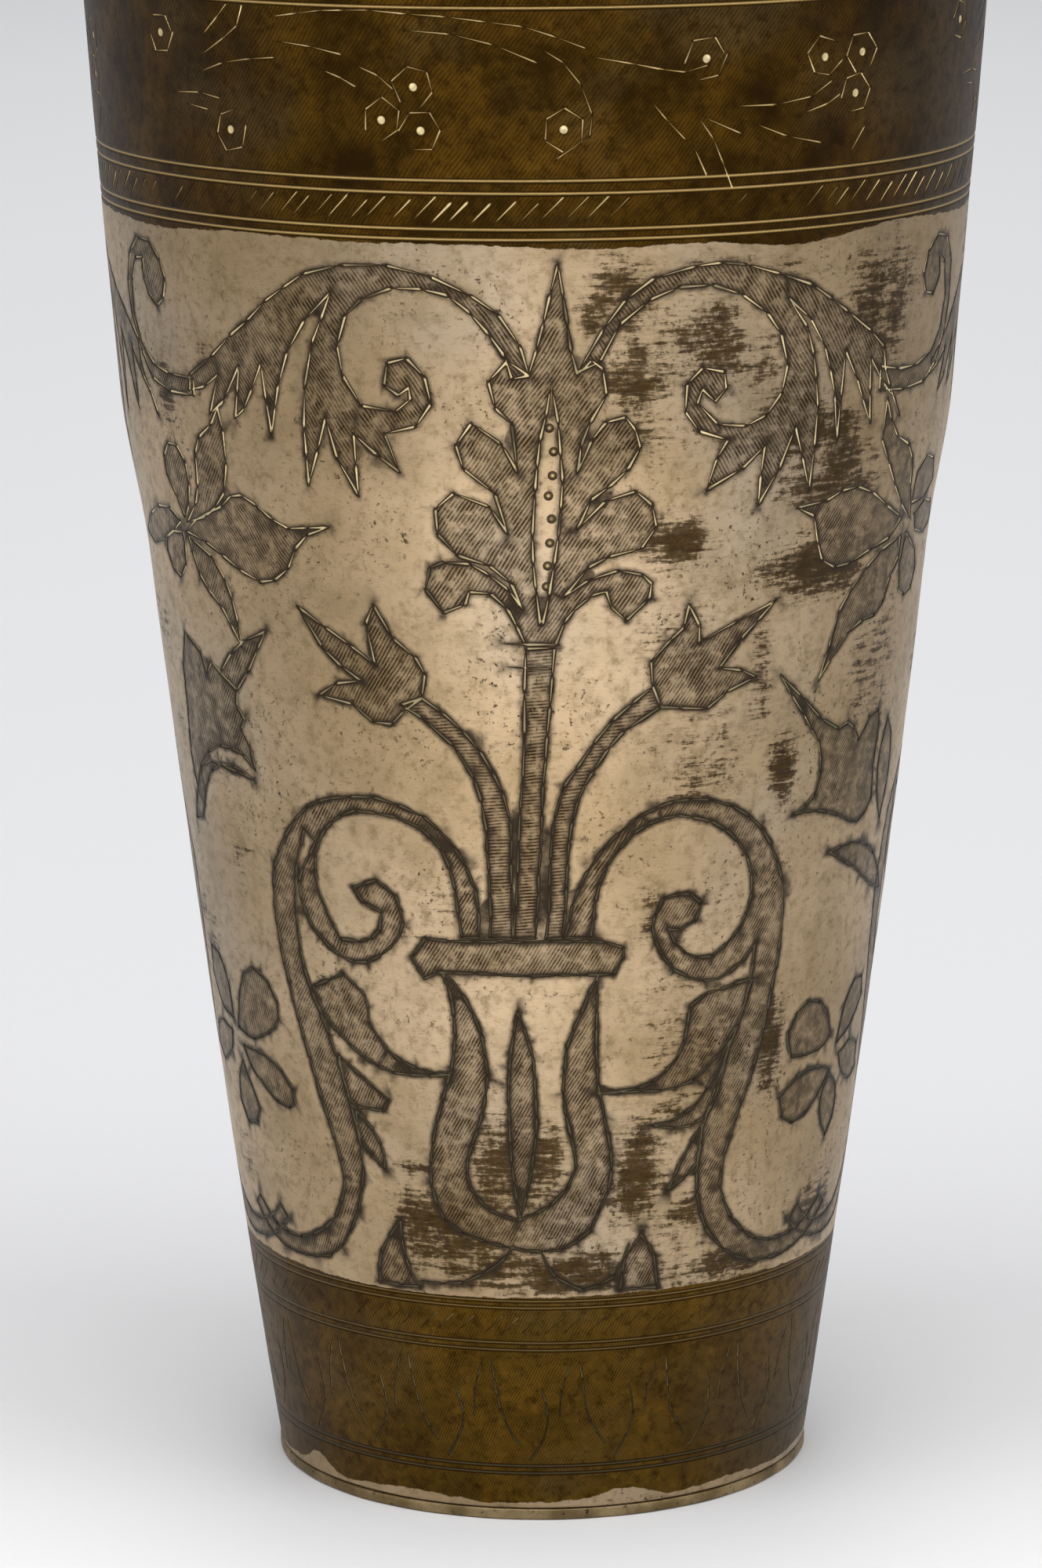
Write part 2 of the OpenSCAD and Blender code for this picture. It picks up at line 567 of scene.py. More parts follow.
# Vase that everything springs from, the lance leaf inside it and the petals under it
VASE = (
    leaf(
        (-20, 108.3), (11, 108), (14.4, 105), (12.7, 102), (-17.5, 102.5), (-20, 101), (-22.3, 105),
    ),
    leaf(
        (-17, 102.3), (-15.2, 97.5), (-15, 88), (-17, 79), (-19, 71), (-19.3, 63), (-17, 56.5),
        (-10, 53), (0, 51.3), (6.2, 53), (10, 58), (12.2, 66), (11.6, 73), (10, 82), (9.6, 92),
        (9.9, 102), (7, 95.5), (4.6, 89), (3.8, 81), (5, 73), (6, 67), (4.6, 63), (1.5, 60),
        (-4, 57), (-9, 59), (-12.4, 63), (-12.8, 68), (-11, 73.5), (-9.5, 80), (-9.4, 87),
        (-11.4, 95), (-15, 101),
    ),
    leaf(
        (-3.8, 95.5), (-5.2, 88), (-5.6, 79), (-5.1, 68), (-3.6, 57.5), (-1.6, 66), (-0.7, 76),
        (-1.3, 87),
    ),
    leaf((-25.5, 55.5), (-29.6, 49), (-29.8, 43.3), (-22, 43.3), (-24.6, 48.5)),
    line((-22, 44.5), (-14, 45), (-8, 48.5), (-5, 52)),
    line((0, 51), (2.4, 46.5), (7, 43.8), (12.5, 46), (15.2, 52)),
    leaf((17.6, 53.5), (14.8, 50), (13.8, 43.6), (20.4, 43.6), (20, 49.5)),
)

# Scrolls of the upper field, with a comb of long leaves hanging from each
UPPER_SCROLLS = (
    leaf(
        (-1.4, 207.4), (-2.7, 212.5), (-6.6, 217.8), (-11, 221), (-18, 224), (-26, 225.6),
        (-34, 225.3), (-41, 223.4), (-49, 218), (-57, 211.5), (-62, 207.6), (-68.5, 203.6),
        (-68.5, 201), (-64.4, 202.2), (-60.6, 204.6), (-63, 197.4),
        (-59.5, 200), (-55.2, 206.5), (-56.4, 197.4), (-54.4, 199), (-50.2, 207.4), (-48.2, 195.4),
        (-46.4, 204), (-44.4, 209.8), (-40.8, 215.6), (-35.6, 220.6), (-39.4, 211.6),
        (-41, 204), (-41.3, 197), (-40.6, 187.4), (-38.7, 193.4), (-37.1, 199), (-35, 192.2),
        (-31, 186), (-31.6, 196.6), (-27.5, 193.5), (-23.6, 190.6), (-26, 197), (-20.6, 198.5),
        (-18, 202.5), (-18.9, 207), (-22, 210), (-25.5, 209.2), (-25.9, 205.4), (-23.6, 203.6),
        (-21.8, 205), (-21.5, 203), (-24, 201), (-30.4, 201.7), (-33.7, 206.6), (-34.5, 211.6),
        (-33, 216.8), (-30, 219.6), (-24.4, 221.7), (-19.4, 221.7), (-14.8, 220.8), (-11.2, 218),
        (-8, 214.4), (-5.5, 210.8), (-4.2, 206.9),
        hatch=Hatch.FALLING,
    ),
    leaf(
        (7, 208), (11.3, 215.1), (15, 220), (20, 223.5), (27, 225.2), (36.3, 225), (43, 223),
        (50, 220.3), (58, 215.1), (64.4, 211), (68.5, 207.8), (69, 203.6),
        (70.6, 201), (74, 195.2), (71.8, 198.6), (68.7, 201.4), (64.4, 206.4), (64.8, 195.2),
        (61, 203), (57.9, 208.2), (56.1, 193.2), (55.3, 201), (53, 209.4), (49.4, 214.6),
        (44.6, 218.6), (48.7, 213.2), (50.2, 208.5), (51.4, 199.4), (50, 185.2),
        (48.3, 191), (46.6, 196.4), (43.2, 189.4), (39, 183.4), (40.2, 193.6), (36, 190.2),
        (29.1, 187), (30.9, 192.3), (33, 195.4), (27.6, 197), (25.1, 200.6), (25.5, 205.2),
        (28.5, 208), (32.3, 206.8), (32.8, 204), (30.6, 202), (28.4, 204.2), (27.4, 202),
        (31, 198), (36.6, 197.4), (40.4, 198.8), (43.5, 202.4), (44.9, 207.3), (43.4, 212.6),
        (40.6, 216.3), (35.6, 219.8), (30, 221.7), (24, 221.7), (19, 219.8), (14, 215.9),
        (10.4, 209.6),
        hatch=Hatch.FALLING,
    ),
)

# Columns of flowers between two panels. The left and the right one are not alike. Points
# are millimetres from the column's own centre line.
LEFT_COLUMN = (
    leaf(
        (10, 200.2), (2, 200), (-4, 201.5), (-8, 206), (-11.3, 212), (-11.8, 218), (-9.4, 223),
        (-5.5, 226), (-1, 225.6), (2.6, 223), (3.8, 219.5), (2.6, 216), (0.4, 214.8), (-2.6, 216.5),
        (-4, 218.8), (-3.8, 222.4), (-7, 222.2), (-9.6, 218), (-9.7, 212), (-7, 207), (-3, 204),
        (2, 203.2), (10, 203.2),
    ),
    leaf(
        (0.5, 175), (5, 178), (9.5, 179.6), (13.5, 181.2), (16.5, 183.2), (19.5, 183.8),
        (22.5, 182.7), (25.5, 180.6), (29, 179.2), (37.5, 180.2), (33, 178.4), (29.6, 175.6),
        (27.6, 172), (24, 169.5), (20.5, 169), (15.5, 170.5), (11.5, 172.5), (7, 174),
        hatch=Hatch.FALLING,
    ),
    leaf(
        (1.5, 177), (8, 178.6), (11.6, 180.6), (15, 184), (16.9, 189), (17.2, 195), (16, 198.6),
        (14, 195.5), (10.2, 193), (8.7, 190), (7.5, 184), (5.5, 180.5),
    ),
    leaf(
        (1, 177.6), (3, 180), (4.8, 184), (4.6, 188), (2.4, 190.6), (-0.6, 190.7), (-2.9, 188),
        (-2.9, 184.5), (-1, 181.5),
    ),
    leaf(
        (-1, 176.6), (-5, 178.6), (-11, 178), (-17, 175.5), (-24, 171.5), (-17, 170.5),
        (-11, 172), (-5, 174.4),
    ),
    leaf(
        (-1, 174.6), (-5, 174.2), (-8.6, 173), (-9.6, 170), (-7.4, 167), (-4.6, 166.2),
        (-1.7, 169), (-0.8, 172.5),
    ),
    leaf(
        (1, 174.2), (8, 171.6), (11, 168.2), (12.4, 165), (13.5, 161), (13.6, 156.6), (11.4, 160),
        (9, 163), (5.6, 165.6), (3, 168), (1.5, 171.6),
    ),
    leaf((6.4, 151), (10.4, 154.7), (14.6, 157.7), (20.4, 160.2), (18, 157), (14.6, 152.5), (11, 148.4)),
    leaf(
        (-5.5, 156), (0, 153.6), (1.6, 150), (3.6, 152.4), (6.4, 151), (11, 148.4), (10.4, 145.5),
        (12.2, 143.4), (11, 141.6), (12.8, 139), (13.5, 134.6), (10.4, 137), (3.5, 137.2),
        (-1.5, 135.4), (-6, 132), (-9, 127), (-10.2, 134), (-9, 142), (-8.6, 150),
    ),
    leaf(
        (12.4, 133), (7, 134.2), (3, 134), (-1, 132), (-5, 127.6), (-8, 122.4), (-12, 121.4),
        (-10, 126), (-6.4, 130.4), (-1.6, 133.8),
    ),
    leaf(
        (-4, 84.6), (-2, 90), (1.4, 95.6), (4.8, 97.5), (9, 95.7), (11.2, 92.4), (11, 89),
        (7.4, 86), (2, 83.6),
    ),
    leaf(
        (-3, 81.6), (4.5, 81.3), (9.4, 79.6), (12.2, 76.5), (12.4, 73.8), (10.6, 72.6),
        (7, 73.4), (3.2, 75.4), (-1, 78.4),
    ),
    leaf((-4.4, 78), (-1.6, 74.2), (0.6, 70.4), (-1.6, 67.3), (-5.6, 66.6), (-8, 70), (-7, 75)),
    leaf((-6, 86), (-6, 92), (-9.6, 97), (-14, 97.4), (-15.4, 92), (-11.4, 87)),
    leaf((-7.6, 83), (-13, 84), (-18, 82), (-20, 78), (-15.6, 75.6), (-9.6, 78.8)),
)
RIGHT_COLUMN = (
    leaf(
        (-10, 200.5), (-2, 199.8), (6, 200), (11, 202.6), (15, 208), (16.5, 214), (15.5, 220),
        (12, 224.5), (7, 225.4), (3.2, 223), (1.8, 219), (3.4, 215.8), (7, 215.3), (9.4, 218),
        (8.4, 221.8), (11.6, 220), (13.4, 214), (12, 208.6), (8, 204.9), (2, 203.3), (-4, 203.3),
        (-10, 204.5),
    ),
    leaf(
        (5, 176), (-1.6, 179.2), (-7.6, 182.2), (-12.6, 184), (-17, 183.9), (-20.6, 182.4),
        (-27.6, 182), (-23, 180), (-21, 175.4), (-19, 172), (-15.4, 170.2), (-11.4, 170.5),
        (-5.4, 172), (1, 173),
    ),
    leaf(
        (9.6, 175), (4, 178.6), (-0.4, 182.4), (-4, 187), (-7.6, 191.6), (-7.2, 198.6), (-5.2, 194.6),
        (-2.6, 191.5), (2.6, 189.5), (5, 186.6), (6.4, 181.5),
    ),
    leaf(
        (6, 172.6), (-1.4, 171.2), (-6, 168.6), (-10, 165.6), (-13, 162), (-14.6, 156), (-16.6, 150.4),
        (-14, 153.6), (-9.6, 157.8), (-5.6, 159.4), (-1.4, 159.6), (1.4, 162), (3.2, 166), (6.2, 169),
    ),
    leaf((8.6, 172.6), (7, 168), (7.6, 163), (11, 161.3), (15.2, 162.2), (17, 165.4), (15, 169), (11, 171.5)),
    leaf((8.6, 178), (8.6, 183.4), (12.6, 186), (18, 184.6), (21, 180.6), (16, 178)),
    leaf((11, 175.6), (17, 177.4), (24, 176), (28, 172.4), (20, 171), (13.6, 172.6)),
    leaf(
        (-26, 152.6), (-20.6, 148.4), (-15, 143.6), (-9.4, 140.6), (-6.4, 141.6), (-4.4, 140),
        (-2.2, 137.4), (0.8, 141.2), (4.4, 141.7), (5.4, 139), (4.6, 132), (5.4, 125.4), (0, 122.4),
        (-6, 124.6), (-13, 126.6), (-19, 127.2), (-14.4, 129.6), (-13.4, 134), (-15, 139.4),
        (-19.4, 144.6),
    ),
    leaf((9.4, 139.5), (12.4, 136), (13.6, 128), (11, 120.6), (7.6, 127), (7.4, 134)),
    leaf((-8, 118.2), (-1, 119), (6, 117), (13, 112), (17, 107), (9, 109.4), (1, 114)),
    leaf(
        (-12.6, 82), (-14.4, 86.6), (-12.6, 90), (-9.6, 91.6), (-5.6, 90.6), (-2.6, 88),
        (-0.6, 83.6), (-5, 81.6),
    ),
    leaf((-14.6, 75), (-13.2, 71), (-10, 69.2), (-6, 70.4), (-2.6, 73), (0.4, 77), (-4, 78.4), (-10, 77.8)),
    leaf((0.6, 76), (-1.6, 71.6), (-0.4, 67), (2.4, 64.2), (4.8, 67.6), (4.2, 73)),
    leaf((2.4, 81.6), (4, 88), (8, 92.4), (12, 91.6), (13.2, 87.6), (8.4, 83.4)),
    leaf((3.8, 79), (9.6, 80.6), (15, 78.4), (16, 74), (11, 72.6), (6, 75.4)),
)

# Scrolling stems of the dark band at the mouth
BAND_SCROLL = (
    line((-61.5, 262.5), (-58, 265.6), (-56, 267.6)),
    line((-62, 258.8), (-56.6, 262), (-53.8, 264.2), (-52.4, 267.8)),
    line((-62.6, 256.2), (-57, 258), (-51, 259), (-46, 259.3)),
    line((-45, 262.2), (-39, 261.6), (-33, 260.4)),
    line((-46, 266.4), (-37, 267.6), (-28, 267.8), (-15, 267), (-2, 265.4), (8, 262)),
    line((-22, 264.8), (-14, 264.2), (-7, 262.4), (0, 259.6)),
    line((-30, 258.6), (-26.6, 257.2), (-24, 255.2)),
    line((-36, 257.6), (-33.4, 256.8), (-30.6, 255.4)),
    line((-69.5, 252.2), (-63, 252.7), (-58, 251.8)),
    line((-66, 250.4), (-61, 250)),
    line((1.6, 261.6), (4.6, 259.6), (7.4, 256), (9.4, 250.8), (9, 247.4), (3.6, 243.6)),
    line((9, 260.4), (16, 259.2), (21, 258), (25, 257.6), (29, 258.4)),
    line((19.6, 252.4), (22, 249.6), (25, 246.6)),
    line((26.6, 245), (29, 240.3)),
    line((27.6, 249.8), (30.2, 246.2), (33.6, 237.6)),
    line((28, 250), (35, 247)),
    line((34, 251.6), (42, 251.2), (49, 252.4), (53, 254.6)),
    line((38, 248.2), (44, 246), (51, 244.4)),
    line((47.6, 249.6), (52.4, 250.8), (55, 252)),
    line((57.6, 242), (61, 246.4)),
)
BAND_FLOWERS = (
    (-73, 262), (-55.6, 246.8), (-26, 249.8), (-20.4, 255.4), (-19.2, 248.2), (4.6, 248.5),
    (28.8, 259.6), (51.7, 258.7), (60.2, 259), (58.7, 252.2),
)

# Lancet marks of the dark band at the foot, repeated round it
FOOT_LANCETS = (
    line((-9, 30.5), (-8, 24), (-6.6, 19), (-4, 14.6), weight=0.7),
    line((0, 25.4), (1, 20), (0, 15.6), (-2.2, 11.8), weight=0.7),
    line((5, 30), (3.4, 25), (3, 20), weight=0.6),
)


@dataclass
class ChasedDesign:
    """Everything that the graver, the punch and the lathe tool leave on the wall."""

    sheet: WallSheet
    panels: int = 3
    outline_w: float = 0.88
    outline_d: float = 0.24
    # Long straight cuts in the upper field, and short ones that round the curves below it
    step_heights: Point = (128.0, 150.0)
    step_lengths: Point = (4.4, 8.5)
    step_widths: Point = (0.82, 1.0)
    shake_mm: float = 0.15
    start_before: float = 0.6
    end_beyond: float = 0.35
    # The strokes of the mouth band run further into each other
    band_lap: float = 2.4
    band_weight: float = 0.6
    corner_deg: float = 50.0
    # Heights of the turned lines, then their half width and depth
    mouth_lines: tuple[float, ...] = (270.7, 268.5, 240.0, 237.9, 231.9, 230.2)
    mouth_groove: Point = (0.5, 0.13)
    foot_lines: tuple[float, ...] = (41.9, 40.6, 34.0, 32.6, 10.4, 9.0)
    foot_groove: Point = (0.42, 0.1)
    # Size and depth of the punch marks
    palmette_punch: Point = (0.85, 0.148)
    flower_punch: Point = (0.95, 0.25)
    # Lower end, rise and weight of each row of slashes
    slash_rows: tuple[tuple[float, float, float], ...] = ((232.6, 5.0, 1.0), (35.4, 4.0, 0.7))
    lancets_per_panel: int = 7
    soot_mm: float = 0.54
    # Soot is worked out this many spreads away from a cut
    soot_reach: float = 2.5
    slash_pitch: float = 3.6
    flower_r: float = 3.5
    flower_sides: int = 6
    flower_weight: float = 0.62
    cuts: list[Stroke] = field(default_factory=list)
    punches: list[Punch] = field(default_factory=list)
    turned: list[TurnedLine] = field(default_factory=list)
    regions: list[tuple[float, np.ndarray, Hatch]] = field(default_factory=list)
    rng: random.Random = field(default_factory=lambda: random.Random(5))

    def lay_out(self) -> None:
        """Works out every mark, panel by panel."""
        self.turned = [TurnedLine(z, *self.mouth_groove) for z in self.mouth_lines]
        self.turned += [TurnedLine(z, *self.foot_groove) for z in self.foot_lines]
        for panel in range(self.panels):
            middle = TAU * panel / self.panels
            between = middle + math.pi / self.panels
            for group in (PALMETTE, STEMS, BUDS, LOWER_SCROLLS, SCROLL_LEAVES, VASE, UPPER_SCROLLS):
                for figure in group:
                    self.chase(figure, middle)
            self.regions.append((middle, np.array(PALMETTE_SLIT), Hatch.NONE))
            for spot in PALMETTE_PUNCHES:
                self.punch(middle, spot, *self.palmette_punch)
            for figure in RIGHT_COLUMN if panel == 0 else LEFT_COLUMN:
                self.chase(figure, between)
            for figure in BAND_SCROLL:
                self.chase(replace(figure, weight=self.band_weight), middle)
            for spot in BAND_FLOWERS:
                self.band_flower(middle, spot)
        for row in self.slash_rows:
            self.slashes(*row)
        count = self.lancets_per_panel * self.panels
        for k in range(count):
            for figure in FOOT_LANCETS:
                self.chase(figure, TAU * k / count)

    def angle(self, middle: float, point: Point) -> Point:
        """Turns a point of a figure into an angle and a height."""
        return middle + point[0] / float(self.sheet.radius(point[1])), point[1]

    def smoothed(self, figure: Figure) -> list[Point]:
        """Places the ends of the cuts along a figure, rounding its gentle turns.

        Args:
            figure: figure to walk along.

        Returns:
            The ends of the cuts, in order.
        """
        spots = [Vector(p) for p in figure.points]
        count = len(spots)
        spans = count if figure.closed else count - 1

        def at(i: int) -> Vector:
            """The point at an index, which runs on round a closed figure."""
            return spots[i % count] if figure.closed else spots[min(max(i, 0), count - 1)]

        def tangent(i: int, forwards: bool) -> Vector:
            """Direction of the line at a point, on one side of it."""
            before, after = at(i) - at(i - 1), at(i + 1) - at(i)
            ends = not figure.closed and i in (0, count - 1)
            sharp = ends or before.angle(after, 0) > math.radians(self.corner_deg)
            if sharp:
                return after if forwards else before
            return (before + after) / 2

        walk: list[Point] = []
        for i in range(spans):
            a, b = at(i), at(i + 1)
            leave, arrive = tangent(i, True), tangent(i + 1, False)
            longest = float(np.interp(a.y, self.step_heights, self.step_lengths))
            pieces = max(1, math.ceil((b - a).length / longest))
            for k in range(pieces):
                spot = eased(k / pieces, a, leave, b, arrive)
                walk.append((spot.x, spot.y))
        if not figure.closed:
            walk.append(tuple(spots[-1]))
        return walk

    def chase(self, figure: Figure, middle: float) -> None:
        """Cuts a figure's outline, and keeps the area inside it for hatching.

        Args:
            figure: figure to cut.
            middle: angle of its centre line.
        """
        shake = self.shake_mm
        walk = [
            (x + self.rng.uniform(-shake, shake), z + self.rng.uniform(-shake, shake))
            for x, z in self.smoothed(figure)
        ]
        if figure.hatch is not Hatch.NONE:
            self.regions.append((middle, np.array(walk), figure.hatch))
        ends = walk + walk[:1] if figure.closed else walk
        for a, b in zip(ends, ends[1:]):
            self.cut(middle, a, b, figure.weight)

    def cut(self, middle: float, a: Point, b: Point, weight: float) -> None:
        """Cuts one stroke between two points of a figure, and a little beyond them."""
        lap = self.band_lap if a[1] > self.mouth_lines[2] else 1.0
        span = max(math.dist(a, b), 0.3) / min(weight, 1.0) / lap
        early, late = self.start_before / span, self.end_beyond / span
        dx, dz = b[0] - a[0], b[1] - a[1]
        width = self.outline_w * weight * self.rng.uniform(0.8, 1.12)
        width *= float(np.interp(b[1], self.step_heights, self.step_widths))
        depth = self.outline_d * (0.5 + 0.5 * weight) * self.rng.uniform(0.85, 1.1)
        ends = (a[0] - dx * early, a[1] - dz * early), (b[0] + dx * late, b[1] + dz * late)
        places = self.angle(middle, ends[0]), self.angle(middle, ends[1])
        self.cuts.append(Stroke.between(self.sheet, *places, width, depth))

    def punch(self, middle: float, spot: Point, size: float, depth: float) -> None:
        """Strikes one round mark."""
        theta, z = self.angle(middle, spot)
        self.punches.append(Punch(theta, z, float(self.sheet.radius(z)), size, depth))

    def band_flower(self, middle: float, spot: Point) -> None:
        """Cuts one small flower: a domed punch in a broken ring of short strokes."""
        sides = self.flower_sides
        turn = self.rng.uniform(0, TAU)
        left_out = self.rng.randrange(sides)
        self.punch(middle, spot, *self.flower_punch)
        ring = []
        for k in range(sides + 1):
            reach = self.flower_r * self.rng.uniform(0.9, 1.1)
            angle = turn + TAU * k / sides
            ring.append((spot[0] + reach * math.cos(angle), spot[1] + reach * math.sin(angle)))
        for k, (a, b) in enumerate(zip(ring, ring[1:])):
            if k != left_out:
                self.cut(middle, a, b, self.flower_weight)

    def slashes(self, low: float, height: float, weight: float) -> None:
        """Cuts a row of slanting strokes right round the pot.

        Args:
            low: height of their lower ends.
            height: how far they rise.
            weight: how heavy they are.
        """
        count = round(TAU * float(self.sheet.radius(low)) / self.slash_pitch)
        for k in range(count):
            x = self.rng.uniform(-0.7, 0.7)
            rise = height * self.rng.uniform(0.7, 1.0)
            foot = low + self.rng.uniform(0, 0.5)
            # The graver bites well in some stretches and hardly marks others
            bite = 0.5 + 0.3 * math.sin(5 * TAU * k / count + 2.6) + self.rng.uniform(-0.15, 0.15)
            self.cut(TAU * k / count, (x, foot), (x + rise, foot + rise), weight * bite)

    def depth_at(self, theta: np.ndarray, z: np.ndarray) -> np.ndarray:
        """How deep the tool marks are at each place, in millimetres."""
        depth = np.zeros(len(z))
        for mark, rows in at_height_of((*self.cuts, *self.punches, *self.turned), z):
            depth[rows] = np.maximum(depth[rows], mark.depth_at(theta[rows], z[rows]))
        return depth

    def soot_at(self, theta: np.ndarray, z: np.ndarray) -> np.ndarray:
        """How much dirt lies along the cuts at each place, from 0 to 1."""
        soot = np.zeros(len(z))
        extra = self.soot_reach * self.soot_mm
        for mark, rows in at_height_of(self.cuts, z, extra):
            rows = rows[mark.near(theta[rows], z[rows], extra)]
            soot[rows] = np.maximum(soot[rows], mark.soot_at(theta[rows], z[rows], self.soot_mm))
        return soot

    def hatch_at(self, theta: np.ndarray, z: np.ndarray) -> np.ndarray:
        """Which hatching covers each place.

        Args:
            theta: angle of each place.
            z: height of each place.

        Returns:
            The value of the Hatch of the last figure that holds the place, or 0.
        """
        found = np.zeros(len(z))
        order = np.argsort(z)
        heights = z[order]
        for middle, outline, hatch in self.regions:
            first, last = np.searchsorted(heights, (outline[:, 1].min(), outline[:, 1].max()))
            rows = order[first:last]
            x = wrapped(theta[rows] - middle) * self.sheet.radius(z[rows])
            near = (x > outline[:, 0].min()) & (x < outline[:, 0].max())
            rows, x = rows[near], x[near]
            y = z[rows]
            inside = np.zeros(len(rows), bool)
            for (xa, ya), (xb, yb) in zip(outline, np.roll(outline, -1, axis=0)):
                if ya == yb:
                    continue
                crosses = (ya > y) != (yb > y)
                inside ^= crosses & (x < (xb - xa) * (y - ya) / (yb - ya) + xa)
            found[rows[inside]] = hatch.value
        return found


# --------------------------------------------------------------------------------------
# Wear and patina
# --------------------------------------------------------------------------------------


# Stands in the attribute "brown" for the inside, which is tinned all over
INSIDE = -500.0


@dataclass(frozen=True)
class Stain:
    """A soft patch on the wall where the tin has worn thin."""

    x: float
    z: float
    half_w: float
    half_h: float
    strength: float = 0.8


FRONT_STAINS = (
    # Right of the palmette and round the right-hand scroll
    Stain(14, 220, 7, 7, 0.75), Stain(8.6, 215.5, 1.6, 1.4, 1.0), Stain(30, 213, 7, 7, 0.8),
    Stain(17, 206, 8, 5, 0.8), Stain(18, 196, 7, 4, 0.55), Stain(50, 195, 15, 4, 0.75),
    Stain(46, 200, 8, 4, 0.6), Stain(55, 186, 13, 5, 0.8), Stain(23, 178, 6.5, 5, 1.0),
    Stain(53, 171, 13, 5, 1.0), Stain(67, 216, 10, 11, 0.7), Stain(26, 160, 9, 7, 0.45),
    Stain(34, 224, 18, 2.5, 0.5), Stain(42, 208, 12, 8, 0.45),
    # Down the right side
    Stain(40, 154, 2.5, 12, 0.65), Stain(45.5, 136, 3.2, 7, 0.9), Stain(70, 150, 9, 20, 0.5),
    Stain(28, 140, 9, 12, 0.35), Stain(22, 112, 7, 7, 0.5), Stain(27, 90, 12, 12, 0.4),
    Stain(43.5, 86, 3, 10, 0.9),
    # Round the foot of the vase
    Stain(-18, 54, 9, 8, 0.85), Stain(-22, 66, 4, 3, 0.6), Stain(-5, 67, 9, 10, 0.85),
    Stain(17, 64, 6, 11, 0.85), Stain(27, 57, 6, 5, 0.7), Stain(1, 47, 20, 4, 0.8),
    Stain(32, 46, 14, 3.5, 0.75), Stain(60, 52, 10, 6, 0.6), Stain(24, 75, 6, 4, 0.6),
    # On the left
    Stain(-17, 115, 3, 3, 0.5), Stain(-66, 208, 9, 3, 0.4), Stain(-76, 200, 3, 6, 0.8),
    Stain(-58, 120, 7, 8, 0.3),
)


@dataclass
class Wear:
    """Where the tin is worn through and where the brass was never tinned."""

    sheet: WallSheet
    upper_edge: float = 229.2
    lower_edge: float = 42.6
    foot_edge: float = 3.4
    stray_patches: int = 90
    # Angles between which the strays lie, clear of the front panel
    strays_from: float = 1.35
    strays_to: float = TAU - 1.15
    seed: int = 11

    def stains(self) -> list[tuple[float, Stain]]:
        """The patches of the front panel, and scattered ones for the rest of the pot."""
        rng = random.Random(self.seed)
        found = [(0.0, stain) for stain in FRONT_STAINS]
        for _ in range(self.stray_patches):
            theta = rng.uniform(self.strays_from, self.strays_to)
            size = rng.uniform(2, 9)
            stain = Stain(0, rng.uniform(46, 226), size, size * rng.uniform(0.5, 1.3), rng.uniform(0.35, 0.9))
            found.append((theta, stain))
        return found

    def worn(self, theta: np.ndarray, z: np.ndarray) -> np.ndarray:
        """How worn the tin is at each place, from 0 to 1."""
        level = np.zeros(len(z))
        for middle, stain in self.stains():
            x = wrapped(theta - middle) * self.sheet.radius(z) - stain.x
            away = (x / stain.half_w) ** 2 + ((z - stain.z) / stain.half_h) ** 2
            level = np.maximum(level, stain.strength * np.exp(-0.7 * away**1.5))
        return level

    def brown(self, theta: np.ndarray, z: np.ndarray) -> np.ndarray:
        """How far each place lies inside the untinned bands, in millimetres."""
        # The upper edge waves a little, and sags on the right of the front
        dip = 1.9 * np.exp(-((wrapped(theta - 0.6) / 0.16) ** 2))
        dip += 0.35 * np.sin(5 * theta + 1) + 0.25 * np.sin(11 * theta)
        # Bare metal shows higher up the foot in two places at the front
        bumps = 2.6 * np.exp(-((wrapped(theta - 0.32) / 0.13) ** 2))
        bumps += 3.0 * np.exp(-((wrapped(theta + 0.98) / 0.08) ** 2))
        bumps += 0.8 * np.sin(7 * theta + 2) * np.sin(3 * theta)
        upper = z - (self.upper_edge - dip)
        lower = np.minimum(self.lower_edge + 0.3 * np.sin(4 * theta) - z, z - self.foot_edge - bumps)
        return np.maximum(upper, lower)


def dents(theta: np.ndarray, z: np.ndarray) -> np.ndarray:
    """How far the hand-raised wall stands out from a true surface, in millimetres."""
    swell = 0.22 * np.sin(2 * theta + 0.02 * z) + 0.12 * np.sin(3 * theta - 0.035 * z + 1)
    hammer = 0.05 * np.sin(9 * theta + 0.11 * z) * np.sin(0.16 * z + 4 * theta)
    return (swell + hammer) * np.clip(z / 30, 0, 1) * np.clip((276 - z) / 20, 0, 1)


# --------------------------------------------------------------------------------------
# Materials
# --------------------------------------------------------------------------------------


def hex_colour(code: str) -> tuple[float, float, float, float]:
    """Turns an sRGB hex value into a linear colour with full alpha."""
    parts = [int(code[i : i + 2], 16) / 255 for i in (1, 3, 5)]
    linear = [p / 12.92 if p <= 0.04045 else ((p + 0.055) / 1.055) ** 2.4 for p in parts]
    return (*linear, 1.0)


